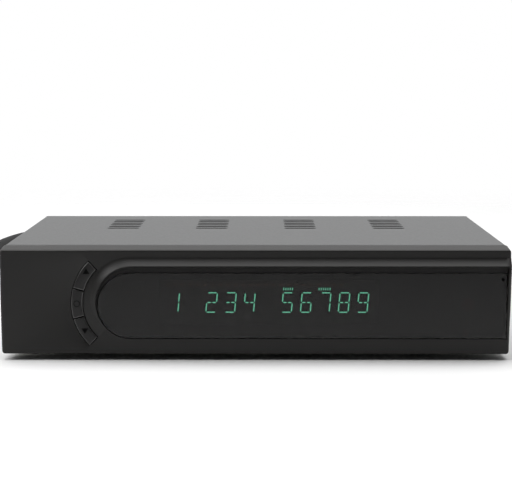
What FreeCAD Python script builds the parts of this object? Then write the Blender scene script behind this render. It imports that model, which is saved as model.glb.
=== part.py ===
import FreeCAD, Part
import math
import os
import re

import Sketcher
from FreeCAD import Placement, Rotation, Vector

# Satellite television receiver: a flat sheet-steel case with a moulded front, three keys in an
# arc, a fluorescent display behind a smoked lens, and a rear panel with five sockets.
# Frame: X to the right seen from the front, the front faces -Y, Z up, z = 0 under the feet.
# Millimetres.  Heights named *_z or *_rise are counted from the underside of the base sheet.

SIZES = {
    # Case
    "case_width": 180.0,
    "case_height": 38.0,
    "case_depth": 118.0,
    "rear_y": 54.65,
    "sheet": 0.8,
    "bend_radius": 0.7,
    "cover_gap": 0.15,
    "cover_lift": 0.9,
    "seam_gap": 0.4,
    "top_band": 2.8,
    "side_band": 4.1,
    "side_ear_z": 15.2,
    "side_ear_inset": 5.2,
    "side_ear_radius": 5.0,
    "top_ear_x": 16.4,
    "top_ear_drop": 4.4,
    "top_ear_radius": 4.3,
    "pan_flange": 9.0,
    "foot_height": 2.0,
    "foot_radius": 5.0,
    "foot_inset_x": 22.0,
    "foot_front": 26.0,
    "foot_rear": 18.0,
    # Cooling slots
    "vent_rows": 6,
    "vent_columns": 4,
    "vent_pitch": 6.4,
    "vent_spread": 35.0,
    "vent_length": 12.8,
    "vent_width": 3.0,
    "vent_inset": 18.5,
    "floor_vent_rows": 5,
    # Front panel
    "front_overhang": 0.5,
    "front_depth": 9.0,
    "front_drop": 0.8,
    "front_wall": 3.0,
    "shell_wall": 1.6,
    "side_tuck": 0.3,
    "foot_chamfer": 1.0,
    "lip_reach": 3.0,
    "lip_wall": 1.3,
    "board_stand": 9.6,
    "post_radius": 2.5,
    "lug_reach": 12.5,
    "lug_width": 9.0,
    "lug_thick": 2.0,
    "lug_inset": 50.0,
    "lug_screw_y": 8.5,
    "lug_head_radius": 2.2,
    "lug_head_height": 1.2,
    # Lens and its hood
    "lens_inset": 46.3,
    "lens_rise": 5.6,
    "lens_ledge": 1.45,
    "lens_thick": 1.5,
    "lens_sink": 0.3,
    "lens_gap": 0.1,
    "lens_margin": 1.2,
    "crest_proud": 2.5,
    "crest_shift": 0.75,
    "crest_rise": 5.3,
    "crest_slope": 2.8,
    "crest_land": 0.3,
    "brim_drop": 0.6,
    "flare_shift": 0.2,
    "flare_rise": 4.3,
    "flare_top_gap": 0.9,
    "flare_sink": 1.5,
    "hood_zero_z": 9.2,
    "window_inset": 49.2,
    "window_width": 78.0,
    "window_height": 16.0,
    # Keys
    "key_shift": 0.3,
    "key_rise": 0.95,
    "key_flare_gap": 0.65,
    "key_width": 4.15,
    "key_start": 134.0,
    "key_span": 31.0,
    "key_gap": 0.25,
    "key_proud": 0.5,
    "key_flange": 0.9,
    "key_flange_thick": 1.0,
    "key_play": 0.3,
    "key_stem": 1.5,
    "switch_size": 6.0,
    "switch_height": 3.5,
    "switch_bore": 2.0,
    "switch_depth": 2.2,
    "plunger_radius": 1.7,
    "plunger_out": 1.1,
    "plunger_in": 1.2,
    # Front board
    "board_thick": 1.6,
    "front_board_inset_left": 20.0,
    "front_board_inset_right": 6.0,
    "front_board_low": 3.0,
    "front_board_drop": 4.0,
    "front_board_gap": 0.6,
    "post_inset": 3.0,
    "display_width": 84.0,
    "display_height": 20.0,
    "display_thick": 5.6,
    "display_rise": 1.05,
    "infrared_inset": 14.9,
    "infrared_rise": 0.25,
    "infrared_size": 6.0,
    "infrared_depth": 4.0,
    "infrared_length": 5.8,
    "infrared_radius": 2.4,
    "lamp_inset": 15.6,
    "lamp_rise": 2.0,
    "lamp_radius": 1.5,
    "lamp_length": 6.0,
    "lamp_rim": 0.4,
    "lamp_rim_thick": 1.0,
    "ribbon_x": 27.0,
    "ribbon_width": 12.0,
    "ribbon_thick": 0.8,
    "ribbon_z": 14.5,
    "socket_height": 5.0,
    "socket_depth": 4.0,
    # Main board and power board
    "board_top": 8.3,
    "board_rear_gap": 2.5,
    "board_split": 5.0,
    "main_edge": 4.0,
    "main_front_gap": 6.95,
    "main_hole_rear": 20.0,
    "power_edge": 3.5,
    "power_width": 33.5,
    "power_front_gap": 4.95,
    "power_rear_gap": 6.05,
    "screw_inset": 4.0,
    "screw_length": 6.0,
    "standoff_radius": 2.8,
    "thread_radius": 1.2,
    "thread_gap": 0.1,
    "head_radius": 2.6,
    "head_height": 1.8,
    "chip_inset": 56.0,
    "chip_back": 34.0,
    "chip_size": 21.0,
    "chip_height": 2.2,
    "memory_width": 10.0,
    "memory_depth": 13.0,
    "memory_height": 1.2,
    "memory_gap": 26.0,
    "memory_pitch": 16.0,
    "clock_gap": 22.0,
    "clock_width": 5.0,
    "clock_depth": 6.0,
    "clock_height": 1.6,
    "sink_size": 24.0,
    "sink_height": 9.0,
    "sink_base": 2.0,
    "sink_fins": 6,
    "fin_slot": 2.4,
    "capacitor_radius": 3.15,
    "capacitor_height": 11.0,
    "capacitor_pitch": 8.0,
    "front_pair_inset": 20.0,
    "front_pair_back": 11.0,
    "left_group_inset": 16.0,
    "left_group_back": 45.0,
    "inductor_size": 7.0,
    "inductor_height": 4.0,
    "inductor_pitch": 11.0,
    "inductor_inset": 24.0,
    "inductor_back": 15.0,
    "can_width": 16.0,
    "can_depth": 30.0,
    "can_height": 13.0,
    # Aerial connector
    "aerial_gap": 5.5,
    "aerial_ear_gap": 7.3,
    "aerial_z": 14.5,
    "aerial_reach": 12.0,
    "aerial_radius": 4.75,
    "aerial_root_radius": 4.45,
    "aerial_root_gap": 0.3,
    "aerial_tip_radius": 4.15,
    "aerial_tip": 1.2,
    "aerial_bore": 2.85,
    "aerial_pin_hole": 0.6,
    "nut_across": 12.0,
    "nut_thick": 2.6,
    "washer_radius": 6.6,
    "washer_thick": 0.7,
    "hole_gap": 0.15,
    # Serial bus socket, standing on edge
    "usb_gap": 7.85,
    "usb_width": 7.1,
    "usb_height": 14.7,
    "usb_reach": 0.9,
    "usb_depth": 14.0,
    "shell_thick": 0.4,
    "usb_tongue_thick": 2.0,
    "usb_tongue_height": 11.6,
    "tongue_sink": 1.6,
    "tongue_root": 3.0,
    # Digital video socket
    "video_gap": 6.65,
    "video_width": 15.0,
    "video_height": 5.6,
    "video_chamfer": 2.2,
    "video_depth": 11.5,
    "video_reach": 0.5,
    "video_tongue_width": 12.0,
    "video_tongue_thick": 1.1,
    # Coaxial audio socket
    "audio_gap": 7.95,
    "audio_z": 14.35,
    "audio_reach": 9.0,
    "audio_radius": 4.15,
    "audio_inner": 3.0,
    "audio_bore": 1.6,
    "audio_bore_depth": 9.0,
    "audio_sink": 0.6,
    "audio_root": 0.6,
    "audio_root_relief": 0.5,
    "audio_body": 10.0,
    "audio_body_depth": 11.0,
    # Peritelevision socket
    "scart_gap": 4.35,
    "scart_z": 16.0,
    "scart_reach": 1.0,
    "scart_neck": 2.0,
    "scart_wall": 0.8,
    "scart_block_margin": 0.7,
    "scart_block_rise": 1.3,
    "scart_groove_side": 2.8,
    "scart_groove_rise": 2.2,
    "scart_groove_least": 0.323,
    "scart_groove": 7.5,
    "scart_body_depth": 14.0,
    "scart_pitch": 3.81,
    "scart_row": 2.5,
    "scart_slot_width": 1.2,
    "scart_slot_height": 3.6,
    "scart_slot_depth": 9.0,
    "scart_blade": 0.6,
    "scart_blade_height": 2.6,
    "scart_blade_length": 7.6,
    "scart_lug_width": 8.0,
    "scart_lug_thick": 4.0,
    "scart_lug_rise": 3.2,
    "scart_screw_rise": 4.0,
    "scart_screw_head": 2.2,
    "scart_screw_head_height": 1.3,
    "scart_screw_length": 3.5,
    "scart_washer_radius": 2.75,
    "scart_washer_thick": 0.5,
    "cover_head_radius": 2.75,
    "cover_head_height": 1.7,
    # Power supply pieces, in a row from the front edge of their board to the rear
    "row_start": 8.5,
    "row_gap": 3.0,
    "row_end": 9.5,
    "transformer_inset": 13.5,
    "core_width": 22.0,
    "core_height": 18.0,
    "core_depth": 10.0,
    "window_span": 16.0,
    "window_rise": 12.0,
    "winding_depth": 19.0,
    "mains_cap_inset": 9.5,
    "mains_cap_radius": 6.5,
    "mains_cap_height": 22.0,
    "choke_inset": 11.0,
    "choke_width": 17.0,
    "choke_depth": 14.0,
    "choke_height": 17.0,
    "filter_inset": 11.5,
    "filter_width": 18.0,
    "filter_depth": 7.0,
    "filter_height": 13.0,
    "small_filter_inset": 5.5,
    "small_filter_shift": 3.5,
    "small_filter_width": 8.0,
    "small_filter_depth": 3.5,
    "small_filter_height": 9.0,
    "fuse_inset": 5.5,
    "fuse_radius": 4.0,
    "fuse_height": 8.0,
    "output_inset": 4.5,
    "output_shift": 4.0,
    "output_pitch": 9.0,
    "output_radius": 4.0,
    "output_height": 13.0,
    "terminal_shift": 0.5,
    "terminal_width": 11.0,
    "terminal_depth": 8.0,
    "terminal_height": 9.0,
    "supply_inset": 3.0,
    "supply_shift": 9.0,
    "supply_width": 5.0,
    "supply_depth": 12.0,
    "supply_height": 6.0,
    "wire_radius": 0.7,
    "wire_pitch": 2.5,
    "wire_rise": 7.0,
    "mains_wire_radius": 1.1,
    "mains_wire_spread": 1.6,
    # Mains cord
    "cord_inset": 19.4,
    "cord_drop": 8.5,
    "gland_width": 10.7,
    "gland_height": 13.3,
    "gland_proud": 4.0,
    "gland_neck_width": 8.5,
    "gland_neck_height": 11.1,
    "gland_inner": 2.0,
    "boot_radius": 5.0,
    "boot_tip_radius": 3.9,
    "cord_radius": 2.8,
    "coil_x": -40.0,
    "coil_y": 108.0,
    "coil_radius": 32.0,
    "coil_band": 13.0,
    "coil_height": 17.0,
    "plug_length": 34.0,
    "plug_width": 35.0,
    "plug_back_width": 12.0,
    "plug_thick": 13.7,
    "plug_pin_radius": 2.0,
    "plug_pin_length": 19.0,
    "plug_pin_spacing": 19.0,
}

# Places and sizes that follow from the driving ones.
DERIVED = {
    "half": "case_width / 2",
    "front_width": "case_width + 2 * front_overhang",
    "front_half": "front_width / 2",
    "floor_low": "foot_height",
    "floor_top": "foot_height + sheet",
    "case_top": "foot_height + case_height",
    "face_y": "rear_y - case_depth",
    "front_rear_y": "face_y + front_depth",
    "wall_back_y": "face_y + front_wall",
    "cover_front_y": "front_rear_y + seam_gap",
    "panel_y": "rear_y - sheet",
    "panel_in_y": "panel_y - sheet",
    "panel_half": "half - sheet - cover_gap",
    "panel_top": "case_top - sheet - cover_gap",
    "side_ear_x": "half - side_ear_inset",
    "top_ear_z": "case_height - top_ear_drop",
    "board_y": "face_y + board_stand",
    "board_back_y": "board_y + board_thick",
    "front_flange_y": "board_back_y + head_height + front_board_gap",
    "main_top": "foot_height + board_top",
    "board_low": "main_top - board_thick",
    "main_rear": "panel_in_y - board_rear_gap",
    "main_left": "power_right + board_split",
    "main_right": "half - main_edge",
    "main_front": "front_flange_y + sheet + main_front_gap",
    "power_left": "-half + power_edge",
    "power_right": "power_left + power_width",
    "power_front": "front_flange_y + sheet + power_front_gap",
    "power_rear": "panel_in_y - power_rear_gap",
    "vent_first_y": "rear_y - vent_inset",
    "flare_radius": "(case_height - front_drop - flare_top_gap - flare_rise) / 2",
    "flare_x": "lens_x - flare_shift",
    "flare_z": "flare_rise + flare_radius",
    "crest_radius": "flare_radius - crest_slope",
    "crest_x": "lens_x + crest_shift",
    "crest_z": "crest_rise + crest_radius",
    "lens_radius": "crest_radius - lens_ledge",
    "lens_x": "-front_half + lens_inset",
    "lens_z": "lens_rise + lens_radius",
    "lens_end": "front_half - lens_margin",
    "lens_face_y": "face_y + lens_sink",
    "lens_back_y": "lens_face_y + lens_thick",
    "lug_x": "half - lug_inset",
    "window_x": "lens_x + window_inset",
    "hood_angle": "atan(crest_proud / (crest_z + crest_radius - hood_zero_z))",
    "key_x": "lens_x - key_shift",
    "key_z": "lens_z + key_rise",
    "key_inner": "flare_radius + key_flare_gap",
    "key_outer": "key_inner + key_width",
    "key_back_y": "wall_back_y + key_play + key_flange_thick",
    "front_board_left": "-half + front_board_inset_left",
    "front_board_right": "half - front_board_inset_right",
    "front_board_high": "case_height - front_board_drop",
    "post_left_x": "front_board_left + post_inset",
    "post_right_x": "front_board_right - post_inset",
    "post_low_z": "front_board_low + post_inset",
    "post_high_z": "front_board_high - post_inset",
    "display_z": "lens_z + display_rise",
    "infrared_x": "front_half - infrared_inset",
    "infrared_z": "lens_z + infrared_rise",
    "lamp_x": "front_half - lamp_inset",
    "lamp_z": "lens_rise + lamp_rise",
    "chip_x": "main_right - chip_inset",
    "chip_y": "main_front + chip_back",
    "switch_y": "board_y - switch_height",
    "plunger_y": "switch_y - plunger_out",
    "port_slack": "(side_ear_x - side_ear_radius - scart_right"
                  " - audio_body - video_width - usb_width - 2 * washer_radius - audio_gap"
                  " - video_gap - usb_gap - aerial_gap - aerial_ear_gap) / 5",
    "audio_x": "scart_right + audio_gap + port_slack + audio_body / 2",
    "video_x": "audio_x + audio_body / 2 + video_gap + port_slack + video_width / 2",
    "usb_x": "video_x + video_width / 2 + usb_gap + port_slack + usb_width / 2",
    "aerial_x": "usb_x + usb_width / 2 + aerial_gap + port_slack + washer_radius",
    "usb_z": "main_top + usb_height / 2",
    "video_z": "main_top + video_height / 2",
    "scart_block_width": "10 * scart_pitch + scart_slot_width + 2 * scart_block_margin",
    "scart_block_height": "2 * scart_row + scart_slot_height + 2 * scart_block_rise",
    "scart_width": "scart_block_width + 2 * (scart_wall + scart_groove_side)",
    "scart_height": "scart_block_height + 2 * (scart_wall + scart_groove_rise)",
    "scart_slant": "(scart_groove_side - scart_groove_least) * scart_height"
                   " / (scart_height - scart_wall - scart_groove_rise)",
    "scart_left": "power_right + scart_gap",
    "scart_right": "scart_left + scart_width",
    "scart_x": "scart_left + scart_width / 2",
    "scart_low": "foot_height + scart_z - scart_height / 2",
    "scart_high": "foot_height + scart_z + scart_height / 2",
    "scart_face_y": "panel_y + scart_reach",
    "scart_neck_y": "panel_in_y - scart_neck",
    "scart_screw_z": "scart_z + scart_height / 2 + scart_screw_rise",
    "row_slack": "(power_rear - power_front - row_start - row_end - 4 * row_gap"
                 " - winding_depth - 2 * mains_cap_radius - choke_depth - filter_depth"
                 " - 2 * fuse_radius) / 6",
    "transformer_x": "power_left + transformer_inset",
    "transformer_y": "power_front + row_start + row_slack + winding_depth / 2",
    "mains_cap_x": "power_left + mains_cap_inset",
    "mains_cap_y": "transformer_y + winding_depth / 2 + row_gap + row_slack + mains_cap_radius",
    "choke_x": "power_left + choke_inset",
    "choke_y": "mains_cap_y + mains_cap_radius + row_gap + row_slack + choke_depth / 2",
    "filter_x": "power_left + filter_inset",
    "filter_y": "choke_y + choke_depth / 2 + row_gap + row_slack + filter_depth / 2",
    "fuse_x": "power_left + fuse_inset",
    "fuse_y": "filter_y + filter_depth / 2 + row_gap + row_slack + fuse_radius",
    "terminal_y": "fuse_y + terminal_shift",
    "supply_y": "mains_cap_y + supply_shift",
    "cord_x": "-half + cord_inset",
    "cord_z": "case_height - cord_drop",
    "gland_y": "rear_y + gland_proud",
}

doc = FreeCAD.newDocument("receiver")
sheet = doc.addObject("Spreadsheet::Sheet", "Sizes")
nodes = []


def fill_sheet():
    """Write every driving size to the sheet with its alias."""
    for row, (alias, value) in enumerate(SIZES.items(), 1):
        sheet.set(f"A{row}", alias)
        sheet.set(f"B{row}", str(value))
        sheet.setAlias(f"B{row}", alias)
    doc.recompute()


def bind(text):
    """Turn a formula of plain size names into one that FreeCAD can follow."""
    def swap(match):
        word = match.group(0)
        if word in DERIVED:
            return f"({bind(DERIVED[word])})"
        if word in SIZES:
            return f"Sizes.{word}"
        return word
    return re.sub(r"[a-z][a-z_0-9]*", swap, str(text))


def number(text):
    """Value of a formula now."""
    return float(sheet.evalExpression(bind(text)))


def follow(thing, **formulas):
    """Bind properties of an object to formulas."""
    for name, text in formulas.items():
        thing.setExpression(name.replace("__", "."), bind(text))
    return thing


def keep(thing, label):
    """Register a finished piece under its own name."""
    thing.Label = label
    nodes.append(thing)
    return thing


# ---- Part primitives -------------------------------------------------------------------------

def block(name, x, y, z):
    """Box between two formulas along each axis."""
    box = doc.addObject("Part::Box", name)
    for side, axis, (low, high) in (("Length", "x", x), ("Width", "y", y), ("Height", "z", z)):
        box.setExpression(side, bind(f"({high}) - ({low})"))
        box.setExpression(f"Placement.Base.{axis}", bind(low))
    return box


TURNS = {
    "X": Rotation(Vector(0, 1, 0), 90),
    "Y": Rotation(Vector(1, 0, 0), -90),
    "Z": Rotation(),
}


def rod(name, axis, start, radius, length):
    """Cylinder that starts at a point and runs along +X, +Y or +Z."""
    cylinder = doc.addObject("Part::Cylinder", name)
    cylinder.Placement = Placement(Vector(), TURNS[axis])
    follow(cylinder, Radius=radius, Height=length)
    for letter, text in zip("xyz", start):
        cylinder.setExpression(f"Placement.Base.{letter}", bind(text))
    return cylinder


def cut(name, base, tool):
    """Base less tool."""
    result = doc.addObject("Part::Cut", name)
    result.Base = base
    result.Tool = tool
    return result


def fuse(name, *shapes):
    """One solid made of several."""
    result = doc.addObject("Part::MultiFuse", name)
    result.Shapes = list(shapes)
    return result


def group(name, *shapes):
    """Separate solids kept together as one named part."""
    result = doc.addObject("Part::Compound", name)
    result.Links = list(shapes)
    return result


def pin_screw(name, axis_sign, x, y, z, shank, head_radius="head_radius", head="head_height"):
    """Round-headed screw; axis_sign '+Z', '-Z', '+Y' or '-Y' is the way its tip points.

    The point x, y, z is the seat of the head.
    """
    axis = axis_sign[1]
    place = {"x": x, "y": y, "z": z}
    letter = axis.lower()
    tip = dict(place)
    top = dict(place)
    if axis_sign[0] == "-":
        tip[letter] = f"({place[letter]}) - ({shank})"
    else:
        top[letter] = f"({place[letter]}) - ({head})"
    stem = rod(name + "_stem", axis, tuple(tip.values()), "thread_radius", shank)
    cap = rod(name + "_cap", axis, tuple(top.values()), head_radius, head)
    return fuse(name, stem, cap)


# ---- Sketch helpers --------------------------------------------------------------------------

def new_body(label):
    """Empty PartDesign body, registered as a finished piece."""
    return keep(doc.addObject("PartDesign::Body", label), label)


def sketch(body, role, offset, tilt="0"):
    """Sketch on one of the body's own planes, moved along its normal and tilted about its X."""
    plane = [item for item in body.Origin.OriginFeatures if item.Role == role][0]
    result = body.newObject("Sketcher::SketchObject", "Sketch")
    result.AttachmentSupport = (plane, [""])
    result.MapMode = "FlatFace"
    result.AttachmentOffset = Placement(Vector(), Rotation(Vector(1, 0, 0), number(tilt)))
    result.setExpression("AttachmentOffset.Base.z", bind(offset))
    if tilt != "0":
        result.setExpression("AttachmentOffset.Rotation.Angle", bind(tilt))
    return result


def upright(body, y, tilt="0"):
    """Sketch that faces the front at a given depth: its pads grow forward, to -Y."""
    return sketch(body, "XZ_Plane", f"-({y})", tilt)


def pin_down(profile, item, point, x, y):
    """Hold one point of a sketch at two formulas."""
    for kind, text in (("DistanceX", x), ("DistanceY", y)):
        index = profile.addConstraint(
            Sketcher.Constraint(kind, -1, 1, item, point, number(text)))
        profile.setExpression(f"Constraints[{index}]", bind(text))


def polygon(profile, points):
    """Closed straight-sided outline, each corner held by two formulas."""
    first = profile.GeometryCount
    corners = [Vector(number(x), number(y), 0) for x, y in points]
    count = len(points)
    for i in range(count):
        profile.addGeometry(Part.LineSegment(corners[i], corners[(i + 1) % count]), False)
    for i in range(count):
        profile.addConstraint(
            Sketcher.Constraint("Coincident", first + i, 2, first + (i + 1) % count, 1))
    for i, (x, y) in enumerate(points):
        pin_down(profile, first + i, 1, x, y)


def rectangle(profile, left, right, low, high):
    """Rectangle between formulas."""
    polygon(profile, [(left, low), (right, low), (right, high), (left, high)])


def circle(profile, x, y, radius):
    """Circle about a point."""
    item = profile.addGeometry(
        Part.Circle(Vector(number(x), number(y), 0), Vector(0, 0, 1), number(radius)), False)
    pin_down(profile, item, 3, x, y)
    index = profile.addConstraint(Sketcher.Constraint("Radius", item, number(radius)))
    profile.setExpression(f"Constraints[{index}]", bind(radius))


def obround(profile, x, y, length, width):
    """Slot with round ends, long along the sketch's X."""
    first = profile.GeometryCount
    radius = number(width) / 2
    reach = (number(length) - number(width)) / 2
    centre = Vector(number(x), number(y), 0)
    side = Vector(reach, 0, 0)
    up = Vector(0, radius, 0)
    normal = Vector(0, 0, 1)
    for shape in (
            Part.ArcOfCircle(Part.Circle(centre - side, normal, radius),
                             math.pi / 2, 3 * math.pi / 2),
            Part.ArcOfCircle(Part.Circle(centre + side, normal, radius),
                             -math.pi / 2, math.pi / 2),
            Part.LineSegment(centre - side - up, centre + side - up),
            Part.LineSegment(centre + side + up, centre - side + up)):
        profile.addGeometry(shape, False)
    for one, end, other, start in ((0, 2, 2, 1), (2, 2, 1, 1), (1, 2, 3, 1), (3, 2, 0, 1)):
        profile.addConstraint(
            Sketcher.Constraint("Tangent", first + one, end, first + other, start))
    profile.addConstraint(Sketcher.Constraint("Equal", first, first + 1))
    for item, sign in ((first, "-"), (first + 1, "+")):
        pin_down(profile, item, 3, f"{x} {sign} (({length}) - ({width})) / 2", y)
    index = profile.addConstraint(Sketcher.Constraint("Radius", first, radius))
    profile.setExpression(f"Constraints[{index}]", bind(f"({width}) / 2"))


def bullet(profile, x, y, radius, right):
    """Outline with a half-round left end that runs straight to a right-hand edge."""
    first = profile.GeometryCount
    centre = Vector(number(x), number(y), 0)
    size = number(radius)
    edge = number(right)
    up = Vector(0, size, 0)
    corner_high = Vector(edge, centre.y + size, 0)
    corner_low = Vector(edge, centre.y - size, 0)
    for shape in (
            Part.ArcOfCircle(Part.Circle(centre, Vector(0, 0, 1), size),
                             math.pi / 2, 3 * math.pi / 2),
            Part.LineSegment(centre - up, corner_low),
            Part.LineSegment(corner_low, corner_high),
            Part.LineSegment(corner_high, centre + up)):
        profile.addGeometry(shape, False)
    for kind, one, end, other, start in (
            ("Tangent", 0, 2, 1, 1), ("Coincident", 1, 2, 2, 1),
            ("Coincident", 2, 2, 3, 1), ("Tangent", 3, 2, 0, 1)):
        profile.addConstraint(Sketcher.Constraint(kind, first + one, end, first + other, start))
    for kind, item in (("Horizontal", 1), ("Vertical", 2), ("Horizontal", 3)):
        profile.addConstraint(Sketcher.Constraint(kind, first + item))
    pin_down(profile, first, 3, x, y)
    index = profile.addConstraint(Sketcher.Constraint("Radius", first, size))
    profile.setExpression(f"Constraints[{index}]", bind(radius))
    index = profile.addConstraint(
        Sketcher.Constraint("DistanceX", -1, 1, first + 2, 1, edge))
    profile.setExpression(f"Constraints[{index}]", bind(right))


def ring_sector(profile, x, y, inner, outer, start, end):
    """Stretch of a ring between two angles, counted from +X towards +Y, in degrees."""
    first = profile.GeometryCount
    centre = Vector(number(x), number(y), 0)
    radii = (number(inner), number(outer))
    angles = (math.radians(number(start)), math.radians(number(end)))
    for size in radii:
        profile.addGeometry(
            Part.ArcOfCircle(Part.Circle(centre, Vector(0, 0, 1), size), *angles), False)
    for angle in angles:
        ray = Vector(math.cos(angle), math.sin(angle), 0)
        profile.addGeometry(
            Part.LineSegment(centre + ray * radii[0], centre + ray * radii[1]), False)
    for arc_end, line in ((1, 2), (2, 3)):
        profile.addConstraint(Sketcher.Constraint("Coincident", first, arc_end, first + line, 1))
        profile.addConstraint(
            Sketcher.Constraint("Coincident", first + 1, arc_end, first + line, 2))
        profile.addConstraint(Sketcher.Constraint("PointOnObject", first, 3, first + line))
    profile.addConstraint(Sketcher.Constraint("Coincident", first, 3, first + 1, 3))
    pin_down(profile, first, 3, x, y)
    for item, text in ((first, inner), (first + 1, outer)):
        index = profile.addConstraint(Sketcher.Constraint("Radius", item, number(text)))
        profile.setExpression(f"Constraints[{index}]", bind(text))
    for item, text, angle in ((first + 2, start, angles[0]), (first + 3, end, angles[1])):
        index = profile.addConstraint(Sketcher.Constraint("Angle", item, angle))
        profile.setExpression(f"Constraints[{index}]", bind(f"({text}) * 1 deg"))


def feature(body, kind, profile, length, reversed_way=False):
    """Pad or Pocket of a sketch; a pocket is checked to have cut something."""
    before = 0.0 if body.Shape.isNull() else body.Shape.Volume
    result = body.newObject(f"PartDesign::{kind}", kind)
    result.Profile = profile
    result.Reversed = reversed_way
    follow(result, Length=length)
    doc.recompute()
    if kind == "Pocket" and body.Shape.Volume > before - 1e-6:
        raise RuntimeError(f"a pocket of {body.Label} cuts nothing")
    return result


def pad(body, profile, length):
    """Pad along the sketch's normal."""
    return feature(body, "Pad", profile, length)


def pocket(body, profile, length, reversed_way=False):
    """Pocket against the sketch's normal, or along it."""
    return feature(body, "Pocket", profile, length, reversed_way)


def loft(body, kind, low, high):
    """Loft between two sketches, added or taken away."""
    result = body.newObject(f"PartDesign::{kind}Loft", kind)
    result.Profile = low
    result.Sections = [(high, [""])]
    result.Ruled = True
    doc.recompute()
    if body.Shape.Volume < 1:
        raise RuntimeError(f"a loft of {body.Label} left nothing")
    return result


def grid(body, cut_feature, profile, rows, row_pitch, columns, column_pitch):
    """Repeat a feature in rows, down the sketch's Y, and columns, along its X."""
    pattern = body.newObject("PartDesign::MultiTransform", "Grid")
    lines = body.newObject("PartDesign::LinearPattern", "Rows")
    files = body.newObject("PartDesign::LinearPattern", "Columns")
    pattern.Originals = [cut_feature]
    for part, axis, count, pitch in (
            (lines, "V_Axis", rows, row_pitch), (files, "H_Axis", columns, column_pitch)):
        part.Direction = (profile, [axis])
        follow(part, Length=f"({count} - 1) * {pitch}", Occurrences=count)
    lines.Reversed = True
    pattern.Transformations = [lines, files]
    body.Tip = pattern
    doc.recompute()
    return pattern


def round_edges(body, radius, wanted):
    """Fillet the edges for which wanted(edge) holds."""
    base = body.Tip
    names = [f"Edge{i}" for i, edge in enumerate(base.Shape.Edges, 1) if wanted(edge)]
    result = body.newObject("PartDesign::Fillet", "Fillet")
    result.Base = (base, names)
    follow(result, Radius=radius)
    doc.recompute()
    return result


def runs_along_y_at(x, z):
    """Test for straight edges parallel to Y at a given |x| and z."""
    def wanted(edge):
        ends = [vertex.Point for vertex in edge.Vertexes]
        return len(ends) == 2 and all(
            abs(abs(p.x) - number(x)) < 1e-4 and abs(p.z - number(z)) < 1e-4 for p in ends)
    return wanted


# ---- Enclosure -------------------------------------------------------------------------------

def hoop(side, top, low):
    """Corners of an upside-down U as wide as the case."""
    return [
        ("-half", low), ("-half", "case_top"), ("half", "case_top"), ("half", low),
        (f"half - {side}", low), (f"half - {side}", f"case_top - {top}"),
        (f"-half + {side}", f"case_top - {top}"), (f"-half + {side}", low),
    ]


def top_cover():
    """Folded steel cover: top, two sides and a narrow flange round the rear panel."""
    body = new_body("top_cover")
    profile = upright(body, "rear_y")
    polygon(profile, hoop("sheet", "sheet", "foot_height + cover_lift"))
    pad(body, profile, "rear_y - cover_front_y")
    round_edges(body, "bend_radius", runs_along_y_at("half", "case_top"))
    flange = upright(body, "rear_y")
    low = "foot_height + cover_lift"
    polygon(flange, [
        ("-half + 0.2", low), ("-half + 0.2", "case_top - bend_radius"),
        ("-half + bend_radius", "case_top - 0.2"), ("half - bend_radius", "case_top - 0.2"),
        ("half - 0.2", "case_top - bend_radius"), ("half - 0.2", low),
        ("half - side_band + 1", low), ("half - side_band", f"{low} + 1.5"),
        ("half - side_band", "case_top - top_band"),
        ("-half + side_band", "case_top - top_band"),
        ("-half + side_band", f"{low} + 1.5"), ("-half + side_band - 1", low),
    ])
    pad(body, flange, "sheet")
    ears = upright(body, "rear_y")
    circle(ears, "-side_ear_x", "foot_height + side_ear_z", "side_ear_radius")
    circle(ears, "side_ear_x", "foot_height + side_ear_z", "side_ear_radius")
    circle(ears, "top_ear_x", "foot_height + top_ear_z", "top_ear_radius")
    pad(body, ears, "sheet")
    holes = upright(body, "panel_y")
    for x, z in COVER_SCREWS:
        circle(holes, x, z, "thread_radius + thread_gap")
    pocket(body, holes, "sheet")
    slot = sketch(body, "XY_Plane", "case_top")
    obround(slot, "-vent_spread * (vent_columns - 1) / 2", "vent_first_y",
            "vent_length", "vent_width")
    first = pocket(body, slot, "sheet")
    grid(body, first, slot, "vent_rows", "vent_pitch", "vent_columns", "vent_spread")


COVER_SCREWS = [
    ("-side_ear_x", "foot_height + side_ear_z"),
    ("side_ear_x", "foot_height + side_ear_z"),
    ("top_ear_x", "foot_height + top_ear_z"),
]


def scart_outline(inset):
    """Corners of the peritelevision socket's mouth, slanted on its +X side."""
    run = f"scart_slant * (1 - 2 * ({inset}) / scart_height)"
    return [
        (f"scart_left + {inset}", f"scart_low + {inset}"),
        (f"scart_right - {inset} - {run} - scart_slant * ({inset}) / scart_height",
         f"scart_low + {inset}"),
        (f"scart_right - {inset} - scart_slant * ({inset}) / scart_height",
         f"scart_high - {inset}"),
        (f"scart_left + {inset}", f"scart_high - {inset}"),
    ]


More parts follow.
